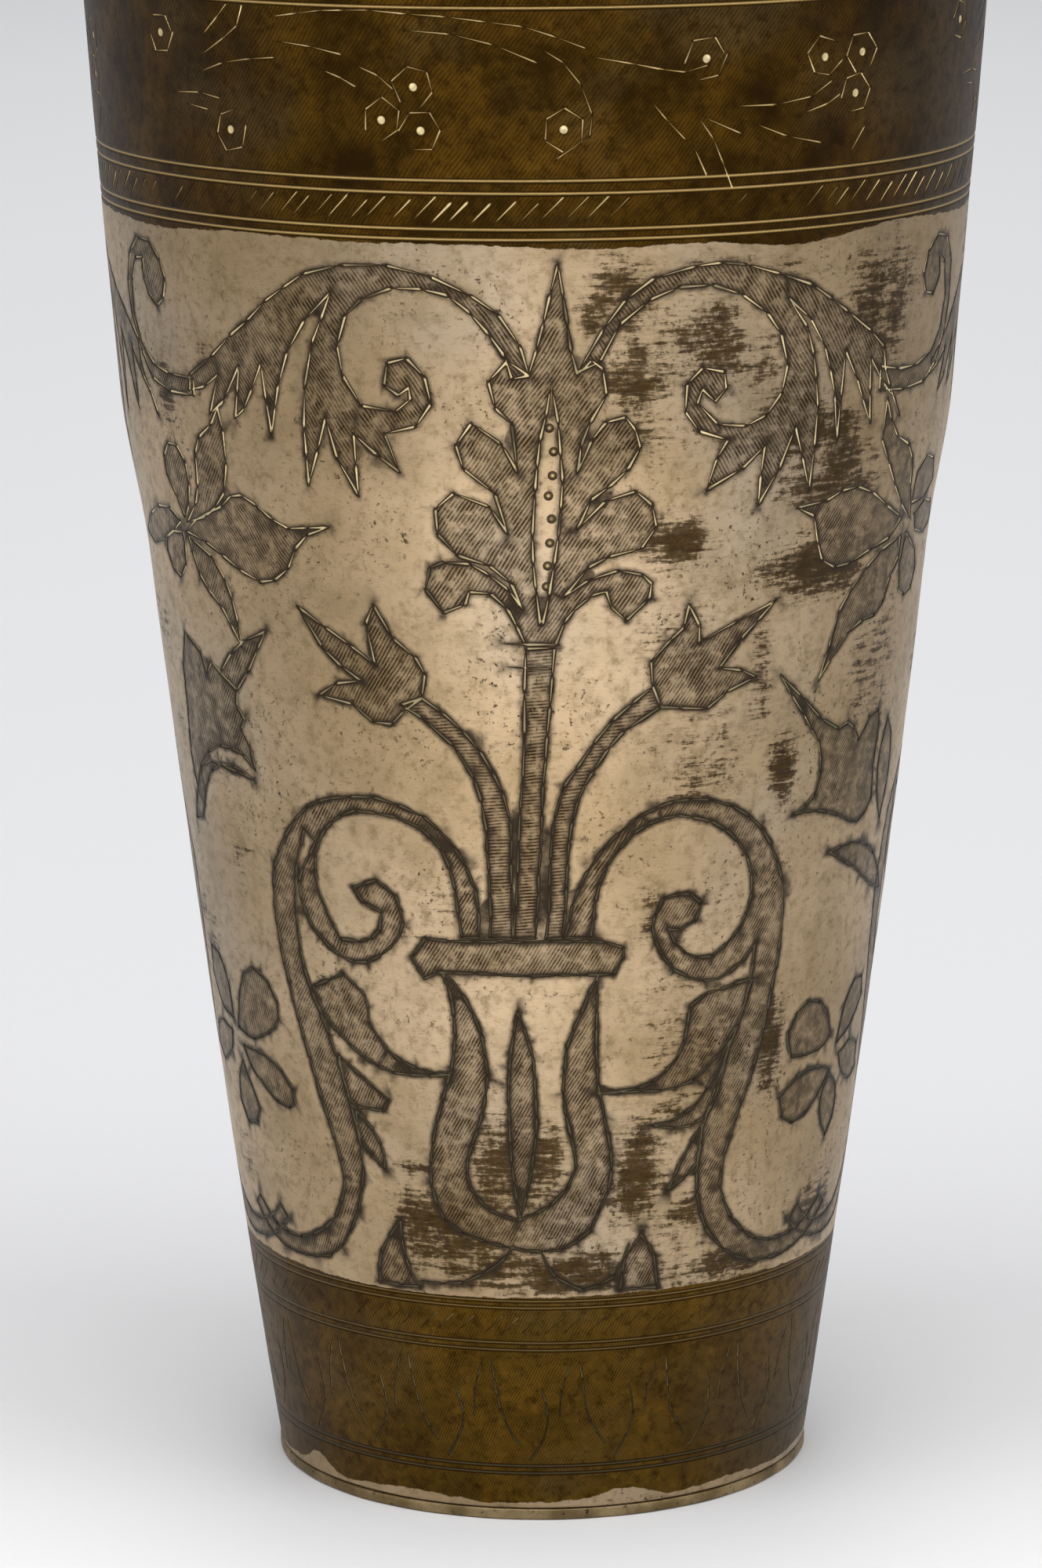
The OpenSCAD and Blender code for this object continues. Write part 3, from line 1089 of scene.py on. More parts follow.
class Finish:
    """A material under construction, with the one function that adds a node to it."""

    def __init__(self, name: str) -> None:
        """Starts a material with an empty shader."""
        self.material = bpy.data.materials.new(name)
        self.material.use_nodes = True
        self.tree = self.material.node_tree
        self.tree.nodes.clear()
        self.out = self.add("ShaderNodeOutputMaterial")
        self.shader = self.add("ShaderNodeBsdfPrincipled")
        self.tree.links.new(self.shader.outputs[0], self.out.inputs["Surface"])
        self.place = self.add("ShaderNodeTexCoord").outputs["Object"]

    def add(self, kind: str, inputs: dict[Any, Any] | None = None, **settings: Any) -> bpy.types.ShaderNode:
        """Adds a node, sets it up and links it.

        Args:
            kind: type of the node.
            inputs: value or output socket for each input, by name or number.
            settings: properties of the node.

        Returns:
            The node.
        """
        node = self.tree.nodes.new(kind)
        for name, value in settings.items():
            setattr(node, name, value)
        for key, value in (inputs or {}).items():
            if isinstance(value, Socket):
                self.tree.links.new(value, node.inputs[key])
            else:
                node.inputs[key].default_value = value
        return node

    def calc(self, operation: str, a: Any, b: Any = 0.0, c: Any = 0.0) -> Socket:
        """Adds one step of arithmetic and returns its result."""
        return self.add("ShaderNodeMath", {0: a, 1: b, 2: c}, operation=operation).outputs[0]

    def noise(self, per_mm: float, detail: float = 2.0, rough: float = 0.5, squash: Any = None) -> Socket:
        """Adds noise sized in millimetres.

        Args:
            per_mm: size of one feature, in millimetres.
            detail: how many finer layers it has.
            rough: how strong the finer layers are.
            squash: how much the pattern is shrunk along X, Y and Z, or None.

        Returns:
            The noise's value.
        """
        place = self.place
        if squash is not None:
            place = self.add("ShaderNodeMapping", {"Vector": place, "Scale": squash}).outputs[0]
        inputs = {"Vector": place, "Scale": 1 / (per_mm * MM), "Detail": detail, "Roughness": rough}
        return self.add("ShaderNodeTexNoise", inputs).outputs["Fac"]

    def ramp(self, value: Any, low: Any, high: Any) -> Socket:
        """Turns a value into a soft step from 0 at low to 1 at high."""
        inputs = {"Value": value, "From Min": low, "From Max": high}
        node = self.add("ShaderNodeMapRange", inputs, interpolation_type="SMOOTHSTEP", clamp=True)
        return node.outputs["Result"]

    def blend(self, share: Any, a: Any, b: Any) -> Socket:
        """Mixes two colours, each a socket or an sRGB hex value."""
        a, b = (hex_colour(c) if isinstance(c, str) else c for c in (a, b))
        return self.add("ShaderNodeMix", {0: share, 6: a, 7: b}, data_type="RGBA").outputs[2]

    def attribute(self, name: str) -> Socket:
        """Reads one of the piece's own attributes."""
        return self.add("ShaderNodeAttribute", attribute_name=name).outputs["Fac"]

    def bump(self, height: Any, depth_mm: float, below: Any = None) -> Socket:
        """Turns a height from 0 to 1 into a bump of a real depth."""
        inputs = {"Height": height, "Distance": depth_mm * MM, "Strength": 1.0}
        if below is not None:
            inputs["Normal"] = below
        return self.add("ShaderNodeBump", inputs).outputs[0]

    def finish(self, **sockets: Any) -> bpy.types.Material:
        """Gives the shader its inputs, as sockets or uniform values.

        Args:
            sockets: input of the shader by name, with _ for a space.

        Returns:
            The finished material.
        """
        for name, value in sockets.items():
            target = self.shader.inputs[name.replace("_", " ")]
            if isinstance(value, Socket):
                self.tree.links.new(value, target)
            else:
                target.default_value = value
        return self.material


@dataclass(frozen=True)
class TinnedBrass:
    """Hot-tinned raised brass, chased, worn and handled.

    The tin gives a soft grey-beige sheen with dark specks. It has worn thin in smoky
    patches and level streaks, down to brown brass. The bands at the mouth and the foot
    were never tinned, and have a dark brown patina that the cuts show up bright on.
    """

    tin_light: str = "#B9A283"
    tin_warm: str = "#A18A69"
    tin_cool: str = "#A89A86"
    tin_dull: str = "#7A6848"
    # Paler than the outer tin: painted light for the inside of the pot
    tin_inside_painted_pale: str = "#CFC2AC"
    # Dark brown of dirt; in the rims of the cuts it is also painted shade
    grime: str = "#2B1E0C"
    worn_brass: str = "#3C2B0E"
    patina_dark: str = "#291B07"
    patina_warm: str = "#5B4013"
    patina_grey: str = "#55462C"
    patina_foot: str = "#7C5F24"
    # Pale gold of cut brass, shown as a painted highlight where the cuts glint
    bright_cut: str = "#DCCBA0"
    turned_cut: str = "#9A7B40"
    dull_cut: str = "#5E5740"
    # Real hatching is 0.4 mm apart; drawn at 0.58 mm, so that it shows
    hatch_mm: float = 0.58
    hatch_deg: float = 57.0
    level_deg: float = 4.0
    hatch_share: float = 0.46
    smudge_share: float = 0.36
    # Size of one feature of each pattern, in millimetres: the tin's clouds, patches,
    # mottle, wiped streaks and pits
    cloud_mm: float = 50.0
    cool_mm: float = 38.0
    patch_mm: float = 11.0
    mottle_mm: float = 2.2
    wipe_mm: float = 1.6
    # Pits are 0.2 mm across; drawn coarser, so that they show
    pit_mm: float = 1.0
    pit_group_mm: float = 18.0
    # The level bars and the upright posts of the wear, and the specks in it
    bar_mm: float = 7.0
    post_mm: float = 5.0
    speck_mm: float = 0.8
    worn_mm: float = 3.0
    # Smudges in the hatching, dirt along the cuts and breaks in their glint
    smudge_mm: float = 3.2
    dirt_mm: float = 4.0
    glint_mm: float = 9.0
    # The patina's blotches, rubbed parts, grey bloom and flecks, and its ragged edge
    blotch_mm: float = 12.0
    rub_mm: float = 16.0
    bloom_mm: float = 30.0
    fleck_mm: float = 2.2
    edge_mm: float = 3.0
    # Long swells left by planishing, and how deep they and the other bumps are
    swell_mm: float = 24.0
    swell_depth: float = 0.12
    mottle_depth: float = 0.03
    hatch_depth: float = 0.04
    pit_depth: float = 0.05

    def build(self) -> bpy.types.Material:
        """Makes the material.

        Returns:
            The material, which reads the wall's own attributes and its Sheet map.
        """
        f = Finish("tinned_brass")
        height = f.add("ShaderNodeSeparateXYZ", {0: f.place}).outputs[2]
        brown = f.attribute("brown")
        ragged = f.calc("ADD", brown, f.calc("MULTIPLY_ADD", f.noise(self.edge_mm, 4, 0.6), 1.4, -0.7))
        band = f.ramp(ragged, -0.12, 0.12)
        mottle = f.noise(self.mottle_mm, 5, 0.65)
        hatch = self.hatching(f)
        filled = f.calc("GREATER_THAN", f.attribute("hatch"), 0.5)
        shade = f.calc("MULTIPLY", filled, f.calc("SUBTRACT", 1.0, band))
        veil = self.veil(f)
        pits = self.pits(f)

        colour = self.tin(f, mottle)
        # Painted light: the inside is blended towards a paler tin, standing in for light that barely reaches
        # into the pot
        inside = f.calc("MULTIPLY", f.calc("LESS_THAN", brown, INSIDE * 0.8), 0.75)
        colour = f.blend(inside, colour, self.tin_inside_painted_pale)
        colour = f.blend(pits, colour, self.grime)
        # Wear hardly shows in the hatching, which holds its tin
        veil = f.calc("MULTIPLY", veil, f.calc("MULTIPLY_ADD", filled, -0.6, 1.0))
        rubbed = f.ramp(f.noise(self.worn_mm, 6, 0.7, (1, 1, 3)), 0.42, 0.62)
        worn = f.blend(rubbed, self.worn_brass, self.patina_dark)
        colour = f.blend(veil, colour, worn)
        smudge = f.ramp(f.noise(self.smudge_mm, 4, 0.62), 0.32, 0.68)
        lines = f.calc("MULTIPLY_ADD", hatch, self.hatch_share, 0.21)
        tone = f.calc("MULTIPLY_ADD", smudge, self.smudge_share, lines)
        colour = f.blend(f.calc("MULTIPLY", shade, tone), colour, self.grime)
        colour = f.blend(band, colour, self.earth(f, hatch, height))

        # Dirt lies along the cuts, unevenly, and the halo is darker towards the bottom
        soot = f.calc("MULTIPLY", f.attribute("soot"), f.calc("SUBTRACT", 1.0, band))
        upper_part = f.ramp(height, 0.12, 0.19)
        uneven = f.calc("MULTIPLY_ADD", f.noise(self.dirt_mm, 4, 0.6), 1.6, f.calc("MULTIPLY", upper_part, -0.18))
        soot = f.ramp(f.calc("MULTIPLY", soot, uneven), 0.05, 0.95)
        colour = f.blend(soot, colour, self.grime)

        # A cut is painted dark along its rims, as painted shade and grime; its valley gets a painted
        # highlight high up and stays dull lower down
        cut = f.attribute("cut")
        rim_shade_and_grime = f.ramp(cut, 0.02, 0.14)
        # The bright part is narrow on the tin, and takes up most of the cut on the bands
        starts = f.calc("MULTIPLY_ADD", band, -0.2, 0.5)
        valley = f.ramp(cut, starts, f.calc("MULTIPLY_ADD", band, -0.16, 0.78))
        # Painted highlight: the valleys glint high up on the tin, and on the bands from part way up the foot
        # band
        glint = f.calc("MULTIPLY", upper_part, f.ramp(f.noise(self.glint_mm, 2), 0.3, 0.5))
        glint = f.calc("MAXIMUM", glint, f.calc("MULTIPLY", band, f.ramp(height, 0.015, 0.055)))
        bright = f.blend(f.ramp(cut, 0.5, 0.8), self.turned_cut, self.bright_cut)
        core = f.blend(glint, self.dull_cut, bright)
        # Painted shade and grime darken the rims of each cut
        colour = f.blend(f.calc("MULTIPLY", rim_shade_and_grime, 0.9), colour, self.grime)
        colour = f.blend(valley, colour, core)

        dirt = f.calc("MAXIMUM", f.calc("MAXIMUM", veil, soot), f.calc("MULTIPLY", shade, 0.5))
        dirt = f.calc("MAXIMUM", dirt, band)
        rough = f.calc("MULTIPLY_ADD", mottle, 0.2, 0.32)
        rough = f.calc("MULTIPLY_ADD", dirt, 0.06, rough)
        metal = f.calc("MULTIPLY_ADD", soot, -0.3, 1.0)

        normal = f.bump(f.noise(self.swell_mm, 3), self.swell_depth)
        normal = f.bump(mottle, self.mottle_depth, normal)
        lines = f.calc("MULTIPLY", hatch, f.calc("MAXIMUM", filled, f.calc("MULTIPLY", band, 0.5)))
        normal = f.bump(f.calc("SUBTRACT", 1.0, lines), self.hatch_depth, normal)
        normal = f.bump(f.calc("SUBTRACT", 1.0, pits), self.pit_depth, normal)
        return f.finish(Base_Color=colour, Roughness=rough, Metallic=metal, Normal=normal)

    def tin(self, f: Finish, mottle: Socket) -> Socket:
        """Colours the bare tin: broad warm and cool clouds under a fine mottle."""
        clouds = f.ramp(f.noise(self.cloud_mm, 3), 0.32, 0.68)
        cool = f.ramp(f.noise(self.cool_mm, 2), 0.48, 0.72)
        tin = f.blend(clouds, self.tin_warm, self.tin_light)
        tin = f.blend(f.calc("MULTIPLY", cool, 0.6), tin, self.tin_cool)
        patch = f.ramp(f.noise(self.patch_mm, 4, 0.6), 0.45, 0.75)
        tin = f.blend(f.calc("MULTIPLY", patch, 0.4), tin, self.tin_dull)
        tin = f.blend(f.calc("MULTIPLY", f.ramp(mottle, 0.45, 0.75), 0.7), tin, self.tin_dull)
        wiped = f.ramp(f.noise(self.wipe_mm, 3, 0.6, (1, 1, 6)), 0.52, 0.7)
        return f.blend(f.calc("MULTIPLY", wiped, 0.3), tin, self.tin_dull)

    def pits(self, f: Finish) -> Socket:
        """Scatters dark specks, thick in some places and sparse in others."""
        specks = f.ramp(f.noise(self.pit_mm, 3, 0.7), 0.57, 0.68)
        gathered = f.ramp(f.noise(self.pit_group_mm, 4, 0.65), 0.42, 0.66)
        return f.calc("MULTIPLY", specks, f.calc("MULTIPLY_ADD", gathered, 0.8, 0.14))

    def veil(self, f: Finish) -> Socket:
        """Spreads the smoky wear, broken up into level bars along its edges."""
        bars = f.noise(self.bar_mm, 8, 0.74, (1, 1, 7))
        posts = f.calc("MULTIPLY", f.noise(self.post_mm, 4, 0.6, (1, 1, 0.35)), 0.5)
        specks = f.calc("MULTIPLY", f.noise(self.speck_mm, 3, 0.6), 0.35)
        level = f.calc("ADD", f.calc("ADD", bars, posts), specks)
        # Even the worst patch keeps some flecks of tin
        level = f.calc("MULTIPLY_ADD", f.attribute("worn"), 0.42, level)
        smoke = f.calc("MULTIPLY", f.ramp(level, 0.95, 1.35), 0.36)
        solid = f.calc("MULTIPLY", f.ramp(level, 1.1, 1.22), 0.58)
        return f.calc("MULTIPLY", f.calc("ADD", smoke, solid), f.ramp(f.attribute("worn"), 0.02, 0.25))

    def earth(self, f: Finish, hatch: Socket, height: Socket) -> Socket:
        """Colours the patina of the bands, with faint hatching under it."""
        dark = self.patina_dark
        colour = f.blend(f.ramp(f.noise(self.blotch_mm, 6, 0.65), 0.3, 0.7), dark, self.patina_warm)
        # The foot band is rubbed by hands, and is paler than the one at the mouth
        low = f.ramp(height, 0.09, 0.03)
        rubbed = f.calc("MULTIPLY", low, f.ramp(f.noise(self.rub_mm, 4, 0.6), 0.2, 0.6))
        colour = f.blend(f.calc("MULTIPLY", rubbed, 0.4), colour, self.patina_foot)
        greyed = f.calc("MULTIPLY", f.ramp(f.noise(self.bloom_mm, 3), 0.48, 0.7), 0.6)
        colour = f.blend(greyed, colour, self.patina_grey)
        flecks = f.calc("MULTIPLY", f.ramp(f.noise(self.fleck_mm, 6, 0.75), 0.45, 0.68), 0.75)
        colour = f.blend(flecks, colour, dark)
        return f.blend(f.calc("MULTIPLY", hatch, 0.6), colour, dark)

    def hatching(self, f: Finish) -> Socket:
        """Draws fine lines, running the way that each figure asks for.

        Args:
            f: material that gets the lines.

        Returns:
            1 along each line and 0 between two lines.
        """
        sheet = f.add("ShaderNodeUVMap", uv_map="Sheet").outputs[0]
        apart = f.add("ShaderNodeSeparateXYZ", {0: sheet})
        shift = f.calc("MULTIPLY", f.noise(9, 1), 2.0)
        way = f.attribute("hatch")
        picked = None
        leans = {Hatch.RISING: self.hatch_deg, Hatch.FALLING: -self.hatch_deg, Hatch.LEVEL: self.level_deg}
        for kind, lean in leans.items():
            slope = math.radians(lean)
            across = f.calc("MULTIPLY_ADD", apart.outputs[0], -math.sin(slope) / self.hatch_mm, shift)
            across = f.calc("MULTIPLY_ADD", apart.outputs[1], math.cos(slope) / self.hatch_mm, across)
            drawn = f.ramp(f.calc("PINGPONG", across, 0.5), 0.14, 0.42)
            if picked is None:
                picked = drawn
                continue
            later = f.calc("GREATER_THAN", way, kind.value - 0.5)
            picked = f.add("ShaderNodeMix", {0: later, 2: picked, 3: drawn}).outputs[0]
        return f.calc("MULTIPLY", picked, f.ramp(f.noise(1.6, 2), 0.25, 0.55))


@dataclass(frozen=True)
class TarnishedMetal:
    """Bare metal, tarnished all over and rubbed paler in blotches by handling.

    It gives a dull face with dark specks and fine scratches.
    """

    name: str
    ground: str
    rubbed: str
    grime: str = "#2C2410"
    metallic: float = 0.85

    def build(self) -> bpy.types.Material:
        """Makes the material."""
        f = Finish(self.name)
        blotch = f.ramp(f.noise(9, 4, 0.6), 0.35, 0.7)
        colour = f.blend(blotch, self.ground, self.rubbed)
        colour = f.blend(f.ramp(f.noise(1.4, 3, 0.6), 0.58, 0.75), colour, self.grime)
        scratch = f.noise(0.9, 3, 0.6, (1, 1, 0.2))
        rough = f.calc("MULTIPLY_ADD", scratch, 0.3, 0.32)
        normal = f.bump(scratch, 0.03, f.bump(f.noise(7, 2), 0.06))
        return f.finish(Base_Color=colour, Roughness=rough, Metallic=self.metallic, Normal=normal)


# Rolled brass sheet: olive brown, rubbed paler in blotches
BASE_BRASS = TarnishedMetal("base_brass", "#6E5C3C", "#9E8A66")
# Soft tin solder, melted in with a flame: dull grey and scorched
SOLDER = TarnishedMetal("solder", "#3B372F", "#6E6A60", "#1A1712")
# Drawn brass wire: brown, with yellower blotches
WIRE_BRASS = TarnishedMetal("wire_brass", "#7A6026", "#A98A45")


@dataclass(frozen=True)
class PlainPaper:
    """Matt paper sweep that the pot stands on, with a hardly visible grain."""

    colour: str = "#E2E2E3"
    grain: str = "#DFDFE0"
    roughness: float = 0.9

    def build(self) -> bpy.types.Material:
        """Makes the material."""
        f = Finish("paper_sweep")
        return f.finish(Base_Color=f.blend(f.noise(2, 3), self.grain, self.colour), Roughness=self.roughness)


# --------------------------------------------------------------------------------------
# Pieces
# --------------------------------------------------------------------------------------


def lathe(bm: bmesh.types.BMesh, profile: Path, steps: int) -> None:
    """Turns an open or closed profile once round the pot's axis.

    Args:
        bm: mesh that gets the surface.
        profile: radius and height of each point, in millimetres.
        steps: how many steps make the turn.
    """
    verts = [bm.verts.new((0, -r * MM, z * MM)) for r, z in profile]
    edges = [bm.edges.new(pair) for pair in zip(verts, verts[1:])]
    bmesh.ops.spin(
        bm, geom=verts + edges, cent=(0, 0, 0), axis=(0, 0, 1), dvec=(0, 0, 0),
        angle=TAU, steps=steps, use_merge=True, use_normal_flip=False, use_duplicate=False,
    )


def close_up(bm: bmesh.types.BMesh, within_mm: float = 0.001) -> None:
    """Joins vertices that meet, and turns every face outwards."""
    bmesh.ops.remove_doubles(bm, verts=bm.verts, dist=within_mm * MM)
    bmesh.ops.recalc_face_normals(bm, faces=bm.faces)


def arc(centre: Point, r: float, start: float, end: float, steps: int) -> list[Point]:
    """Points round a centre, from one angle to another in degrees."""
    found = []
    for k in range(steps + 1):
        angle = math.radians(start + (end - start) * k / steps)
        found.append((centre[0] + r * math.cos(angle), centre[1] + r * math.sin(angle)))
    return found


def piece(name: str, bm: bmesh.types.BMesh, material: bpy.types.Material) -> bpy.types.Object:
    """Turns a finished mesh into an object with one material, shaded smooth."""
    mesh = bpy.data.meshes.new(name)
    bm.to_mesh(mesh)
    bm.free()
    mesh.shade_smooth()
    mesh.materials.append(material)
    made = bpy.data.objects.new(name, mesh)
    bpy.context.scene.collection.objects.link(made)
    return made


def read(items: Any, name: str, width: int = 1, kind: type = float) -> np.ndarray:
    """Reads one property of every item of a mesh, as a row of numbers for each."""
    values = np.empty(len(items) * width, kind)
    items.foreach_get(name, values)
    return values.reshape(-1, width) if width > 1 else values


class Survey:
    """Where every vertex, face corner and face of the wall lies.

    Attributes:
        theta: angle of each vertex.
        z: height of each vertex.
        reach: radius of each vertex.
        corner: vertex of each face corner.
        owner: face of each face corner.
        middle: angle of the middle of each face.
    """

    def __init__(self, mesh: bpy.types.Mesh) -> None:
        """Measures a mesh."""
        spots = read(mesh.vertices, "co", 3) / MM
        self.theta = np.arctan2(spots[:, 0], -spots[:, 1])
        self.z = spots[:, 2]
        self.reach = np.hypot(spots[:, 0], spots[:, 1])
        self.corner = read(mesh.loops, "vertex_index", kind=int)
        self.starts = read(mesh.polygons, "loop_start", kind=int)
        self.sizes = read(mesh.polygons, "loop_total", kind=int)
        self.owner = np.repeat(np.arange(len(self.starts)), self.sizes)
        self.middle = np.arctan2(self.mean(np.sin(self.theta)), self.mean(np.cos(self.theta)))

    def mean(self, values: np.ndarray) -> np.ndarray:
        """Average of a value over the corners of each face."""
        return np.add.reduceat(values[self.corner], self.starts) / self.sizes


@dataclass
class ChasedWall:
    """The wall: one sheet, chased outside, plain inside, curled over the wire at the mouth."""

    sheet: WallSheet
    design: ChasedDesign
    wear: Wear
    steps: int = 180
    row_mm: float = 4.2
    inner_row_mm: float = 9.0
    edge_margin: float = 0.6
    apron_mm: float = 0.75
    apron_pitch: float = 2.8
    lip_gap: float = 0.3
    lip_deg: float = 3.0
    # The shallowest mark that counts as cut, and the least value of "cut" inside one
    least_cut: float = 0.004
    rim_value: float = 0.12
    # Shares of the square map: the height that the inside takes up, its edge and its gap
    skin_floor: float = 0.22
    map_edge: float = 0.002
    map_gap: float = 0.02
    # The wall's middle girth as a share of its girth at the bead
    girth_share: float = 0.85
    name: str = "chased_wall"

    def build(self) -> bpy.types.Object:
        """Makes the wall.

        Returns:
            The finished piece.
        """
        sheet = self.sheet
        self.low = sheet.foot_z + self.edge_margin
        self.high = sheet.bead_z - sheet.bead_outer - self.edge_margin
        bm = bmesh.new()
        skin = self.skin()
        bm.from_mesh(skin)
        bpy.data.meshes.remove(skin)
        lathe(bm, self.profile(), self.steps)
        close_up(bm, 0.004)
        made = piece(self.name, bm, TinnedBrass().build())
        self.finish_surface(made.data)
        return made

    def skin(self) -> bpy.types.Mesh:
        """Makes the chased outer surface as loose triangles on the true wall."""
        plan = Plan(self.sheet)
        self.lay_rows(plan)
        for mark in (*self.design.cuts, *self.design.punches):
            mark.draw(plan)
        theta, z, faces = plan.triangles(self.low)
        reach = (self.sheet.radius(z) - self.design.depth_at(theta, z)) * MM
        spots = np.stack([reach * np.sin(theta), -reach * np.cos(theta), z * MM], 1)
        mesh = bpy.data.meshes.new("skin")
        mesh.from_pydata(spots.tolist(), [], faces.tolist())
        LOG.info("skin: %d cuts, %d triangles", len(self.design.cuts), len(faces))
        return mesh

    def lay_rows(self, plan: Plan) -> None:
        """Adds level rows of places to the plan, clear of the tool marks.

        Args:
            plan: plan that gets the rows.
        """
        turned = self.design.turned
        fixed = [self.low, self.high]
        for mark in turned:
            fixed += [mark.z - mark.half_width, mark.z, mark.z + mark.half_width]
        count = round((self.high - self.low) / self.row_mm)
        free = [
            z for z in np.linspace(self.low, self.high, count + 1)[1:-1]
            if min(abs(z - f) for f in fixed) > self.row_mm * 0.4
        ]
        turn = np.arange(self.steps) * TAU / self.steps
        theta, z = [], []
        for k, height in enumerate(free):
            theta.append(turn + (k % 2) * math.pi / self.steps)
            z.append(np.full(self.steps, height))
        grid = len(free) * self.steps
        tinned = [c for c in self.design.cuts if self.wear.lower_edge < c.z < self.wear.upper_edge]
        beside = np.array([p for c in tinned for p in c.beside(self.apron_mm, self.apron_pitch)])
        theta, z = np.concatenate([*theta, beside[:, 0]]), np.concatenate([*z, beside[:, 1]])
        clear = np.abs(wrapped(theta - math.pi)) > TAU / self.steps * 0.75
        clear[grid:] = True
        margin = self.apron_mm * 0.8
        for mark, rows in at_height_of((*self.design.cuts, *self.design.punches), z, margin):
            clear[rows] &= ~mark.near(theta[rows], z[rows], margin)
        plan.spots += list(zip(theta[clear].tolist(), z[clear].tolist()))
        for height in fixed:
            plan.loop([(angle, height) for angle in turn.tolist()])
        # A line of edges down the back, where the unrolled sheet is split
        plan.chain([(math.pi, height) for height in sorted(fixed + free)])

    def profile(self) -> list[Point]:
        """Section of the wall apart from its chased surface, from the bead to the foot.

        Returns:
            Radius and height of each point: round the wire, over the bead, down the
            inside and under the foot.
        """
        s = self.sheet
        middle = (s.bead_r, s.bead_z)
        hollow = s.bead_outer - s.sheet_t
        # The curled edge stops short of the wall, and its lip is rounded
        lip = -180 + math.degrees(math.acos((hollow - self.lip_gap) / s.bead_outer))
        points = [(float(s.radius(self.high)), self.high)]
        points += arc(middle, hollow, 180, lip, 16)
        points += arc(middle, s.bead_outer - 0.25, lip - self.lip_deg, lip, 1)[:1]
        points += arc(middle, s.bead_outer, lip + self.lip_deg, 180, 26)
        rows = round((s.bead_z - s.foot_z) / self.inner_row_mm)
        heights = np.linspace(s.bead_z, s.foot_z, rows + 1)[1:]
        points += [(float(s.radius(z)) - s.sheet_t, float(z)) for z in heights]
        points += [(float(s.radius(s.foot_z)) - 0.15, s.foot_z)]
        points += [(float(s.radius(s.foot_z)), s.foot_z + 0.2)]
        points += [(float(s.radius(self.low)), self.low)]
        return points

    def finish_surface(self, mesh: bpy.types.Mesh) -> None:
        """Gives the wall its dents, normals, maps and attributes.

        Args:
            mesh: the wall's mesh.
        """
        at = Survey(mesh)
        theta, z, depth = at.theta, at.z, self.sheet.radius(at.z) - at.reach
        thin = self.sheet.sheet_t / 2
        height = at.mean(z)
        outside = (at.mean(depth) < thin) & (height < self.high) & (height > self.low)

        # Dents move the whole thickness of the sheet
        pushed = at.reach + dents(theta, z)
        spots = np.stack([pushed * np.sin(theta), -pushed * np.cos(theta), z], 1)
        mesh.vertices.foreach_set("co", (spots * MM).ravel())
        mesh.update()

        in_cut = outside & (self.design.depth_at(at.middle, height) > self.least_cut)
        self.set_normals(mesh, at, outside, in_cut)
        share = np.clip(depth / (self.design.outline_d * 0.9), 0, 1)[at.corner]
        share = self.rim_value + (1 - self.rim_value) * share
        self.store(mesh, "cut", "CORNER", np.where(in_cut[at.owner], share, 0))
        hatch = np.where(outside, self.design.hatch_at(at.middle, height), 0)
        self.store(mesh, "hatch", "FACE", hatch)
        # The inside is plain, and tinned all the way up to the bead
        inside = (depth > thin) & (z < self.high)
        self.store(mesh, "soot", "POINT", np.where(inside, 0.0, self.design.soot_at(theta, z)))
        self.store(mesh, "worn", "POINT", np.where(inside, 0.0, self.wear.worn(theta, z)))
        self.store(mesh, "brown", "POINT", np.where(inside, INSIDE, self.wear.brown(theta, z)))
        self.set_maps(mesh, at, outside)

    @staticmethod
    def store(mesh: bpy.types.Mesh, name: str, domain: str, values: np.ndarray) -> None:
        """Writes an attribute of one number."""
        made = mesh.attributes.new(name, "FLOAT", domain)
        made.data.foreach_set("value", np.ascontiguousarray(values, np.float32))

    def set_normals(
        self, mesh: bpy.types.Mesh, at: Survey, outside: np.ndarray, in_cut: np.ndarray
    ) -> None:
        """Gives the skin the normals of its true surface, and each cut crisp sides.

        Args:
            mesh: the wall's mesh.
            at: where everything in the mesh lies.
            outside: whether each face belongs to the skin.
            in_cut: whether each face lies in a tool mark.
        """
        theta, z = at.theta, at.z
        # Slopes are taken over this many millimetres each way
        step = 0.05
        rise = (dents(theta, z + step) - dents(theta, z - step)) / (2 * step) + self.sheet.slope(z)
        turn = step / self.sheet.radius(z)
        around = (dents(theta + turn, z) - dents(theta - turn, z)) / (2 * step)
        out = np.stack([np.sin(theta), -np.cos(theta), np.zeros(len(z))], 1)
        side = np.stack([np.cos(theta), np.sin(theta), np.zeros(len(z))], 1)
        normal = out - side * around[:, None] - np.array([0, 0, 1.0]) * rise[:, None]
        normal /= np.linalg.norm(normal, axis=1)[:, None]
        flat = read(mesh.polygons, "normal", 3)
        wanted = np.where(in_cut[at.owner][:, None], flat[at.owner], normal[at.corner])
        wanted[~outside[at.owner]] = 0
        mesh.normals_split_custom_set(wanted.tolist())

    def set_maps(self, mesh: bpy.types.Mesh, at: Survey, outside: np.ndarray) -> None:
        """Unrolls the wall twice: once to fill a square, and once at its real size.

        Args:
            mesh: the wall's mesh.
            at: where everything in the mesh lies, before its dents.
            outside: whether each face belongs to the skin.
        """
        floor, edge = self.skin_floor, self.map_edge
        middle = at.middle[at.owner]
        height = at.z[at.corner]
        # A face next to the split at the back keeps to its own side of it
        angle = middle + wrapped(at.theta[at.corner] - middle)
        across = edge + (1 - 2 * edge) * (angle / TAU + 0.5)
        up = floor + (1 - edge - floor) * (height - self.low) / (self.high - self.low)

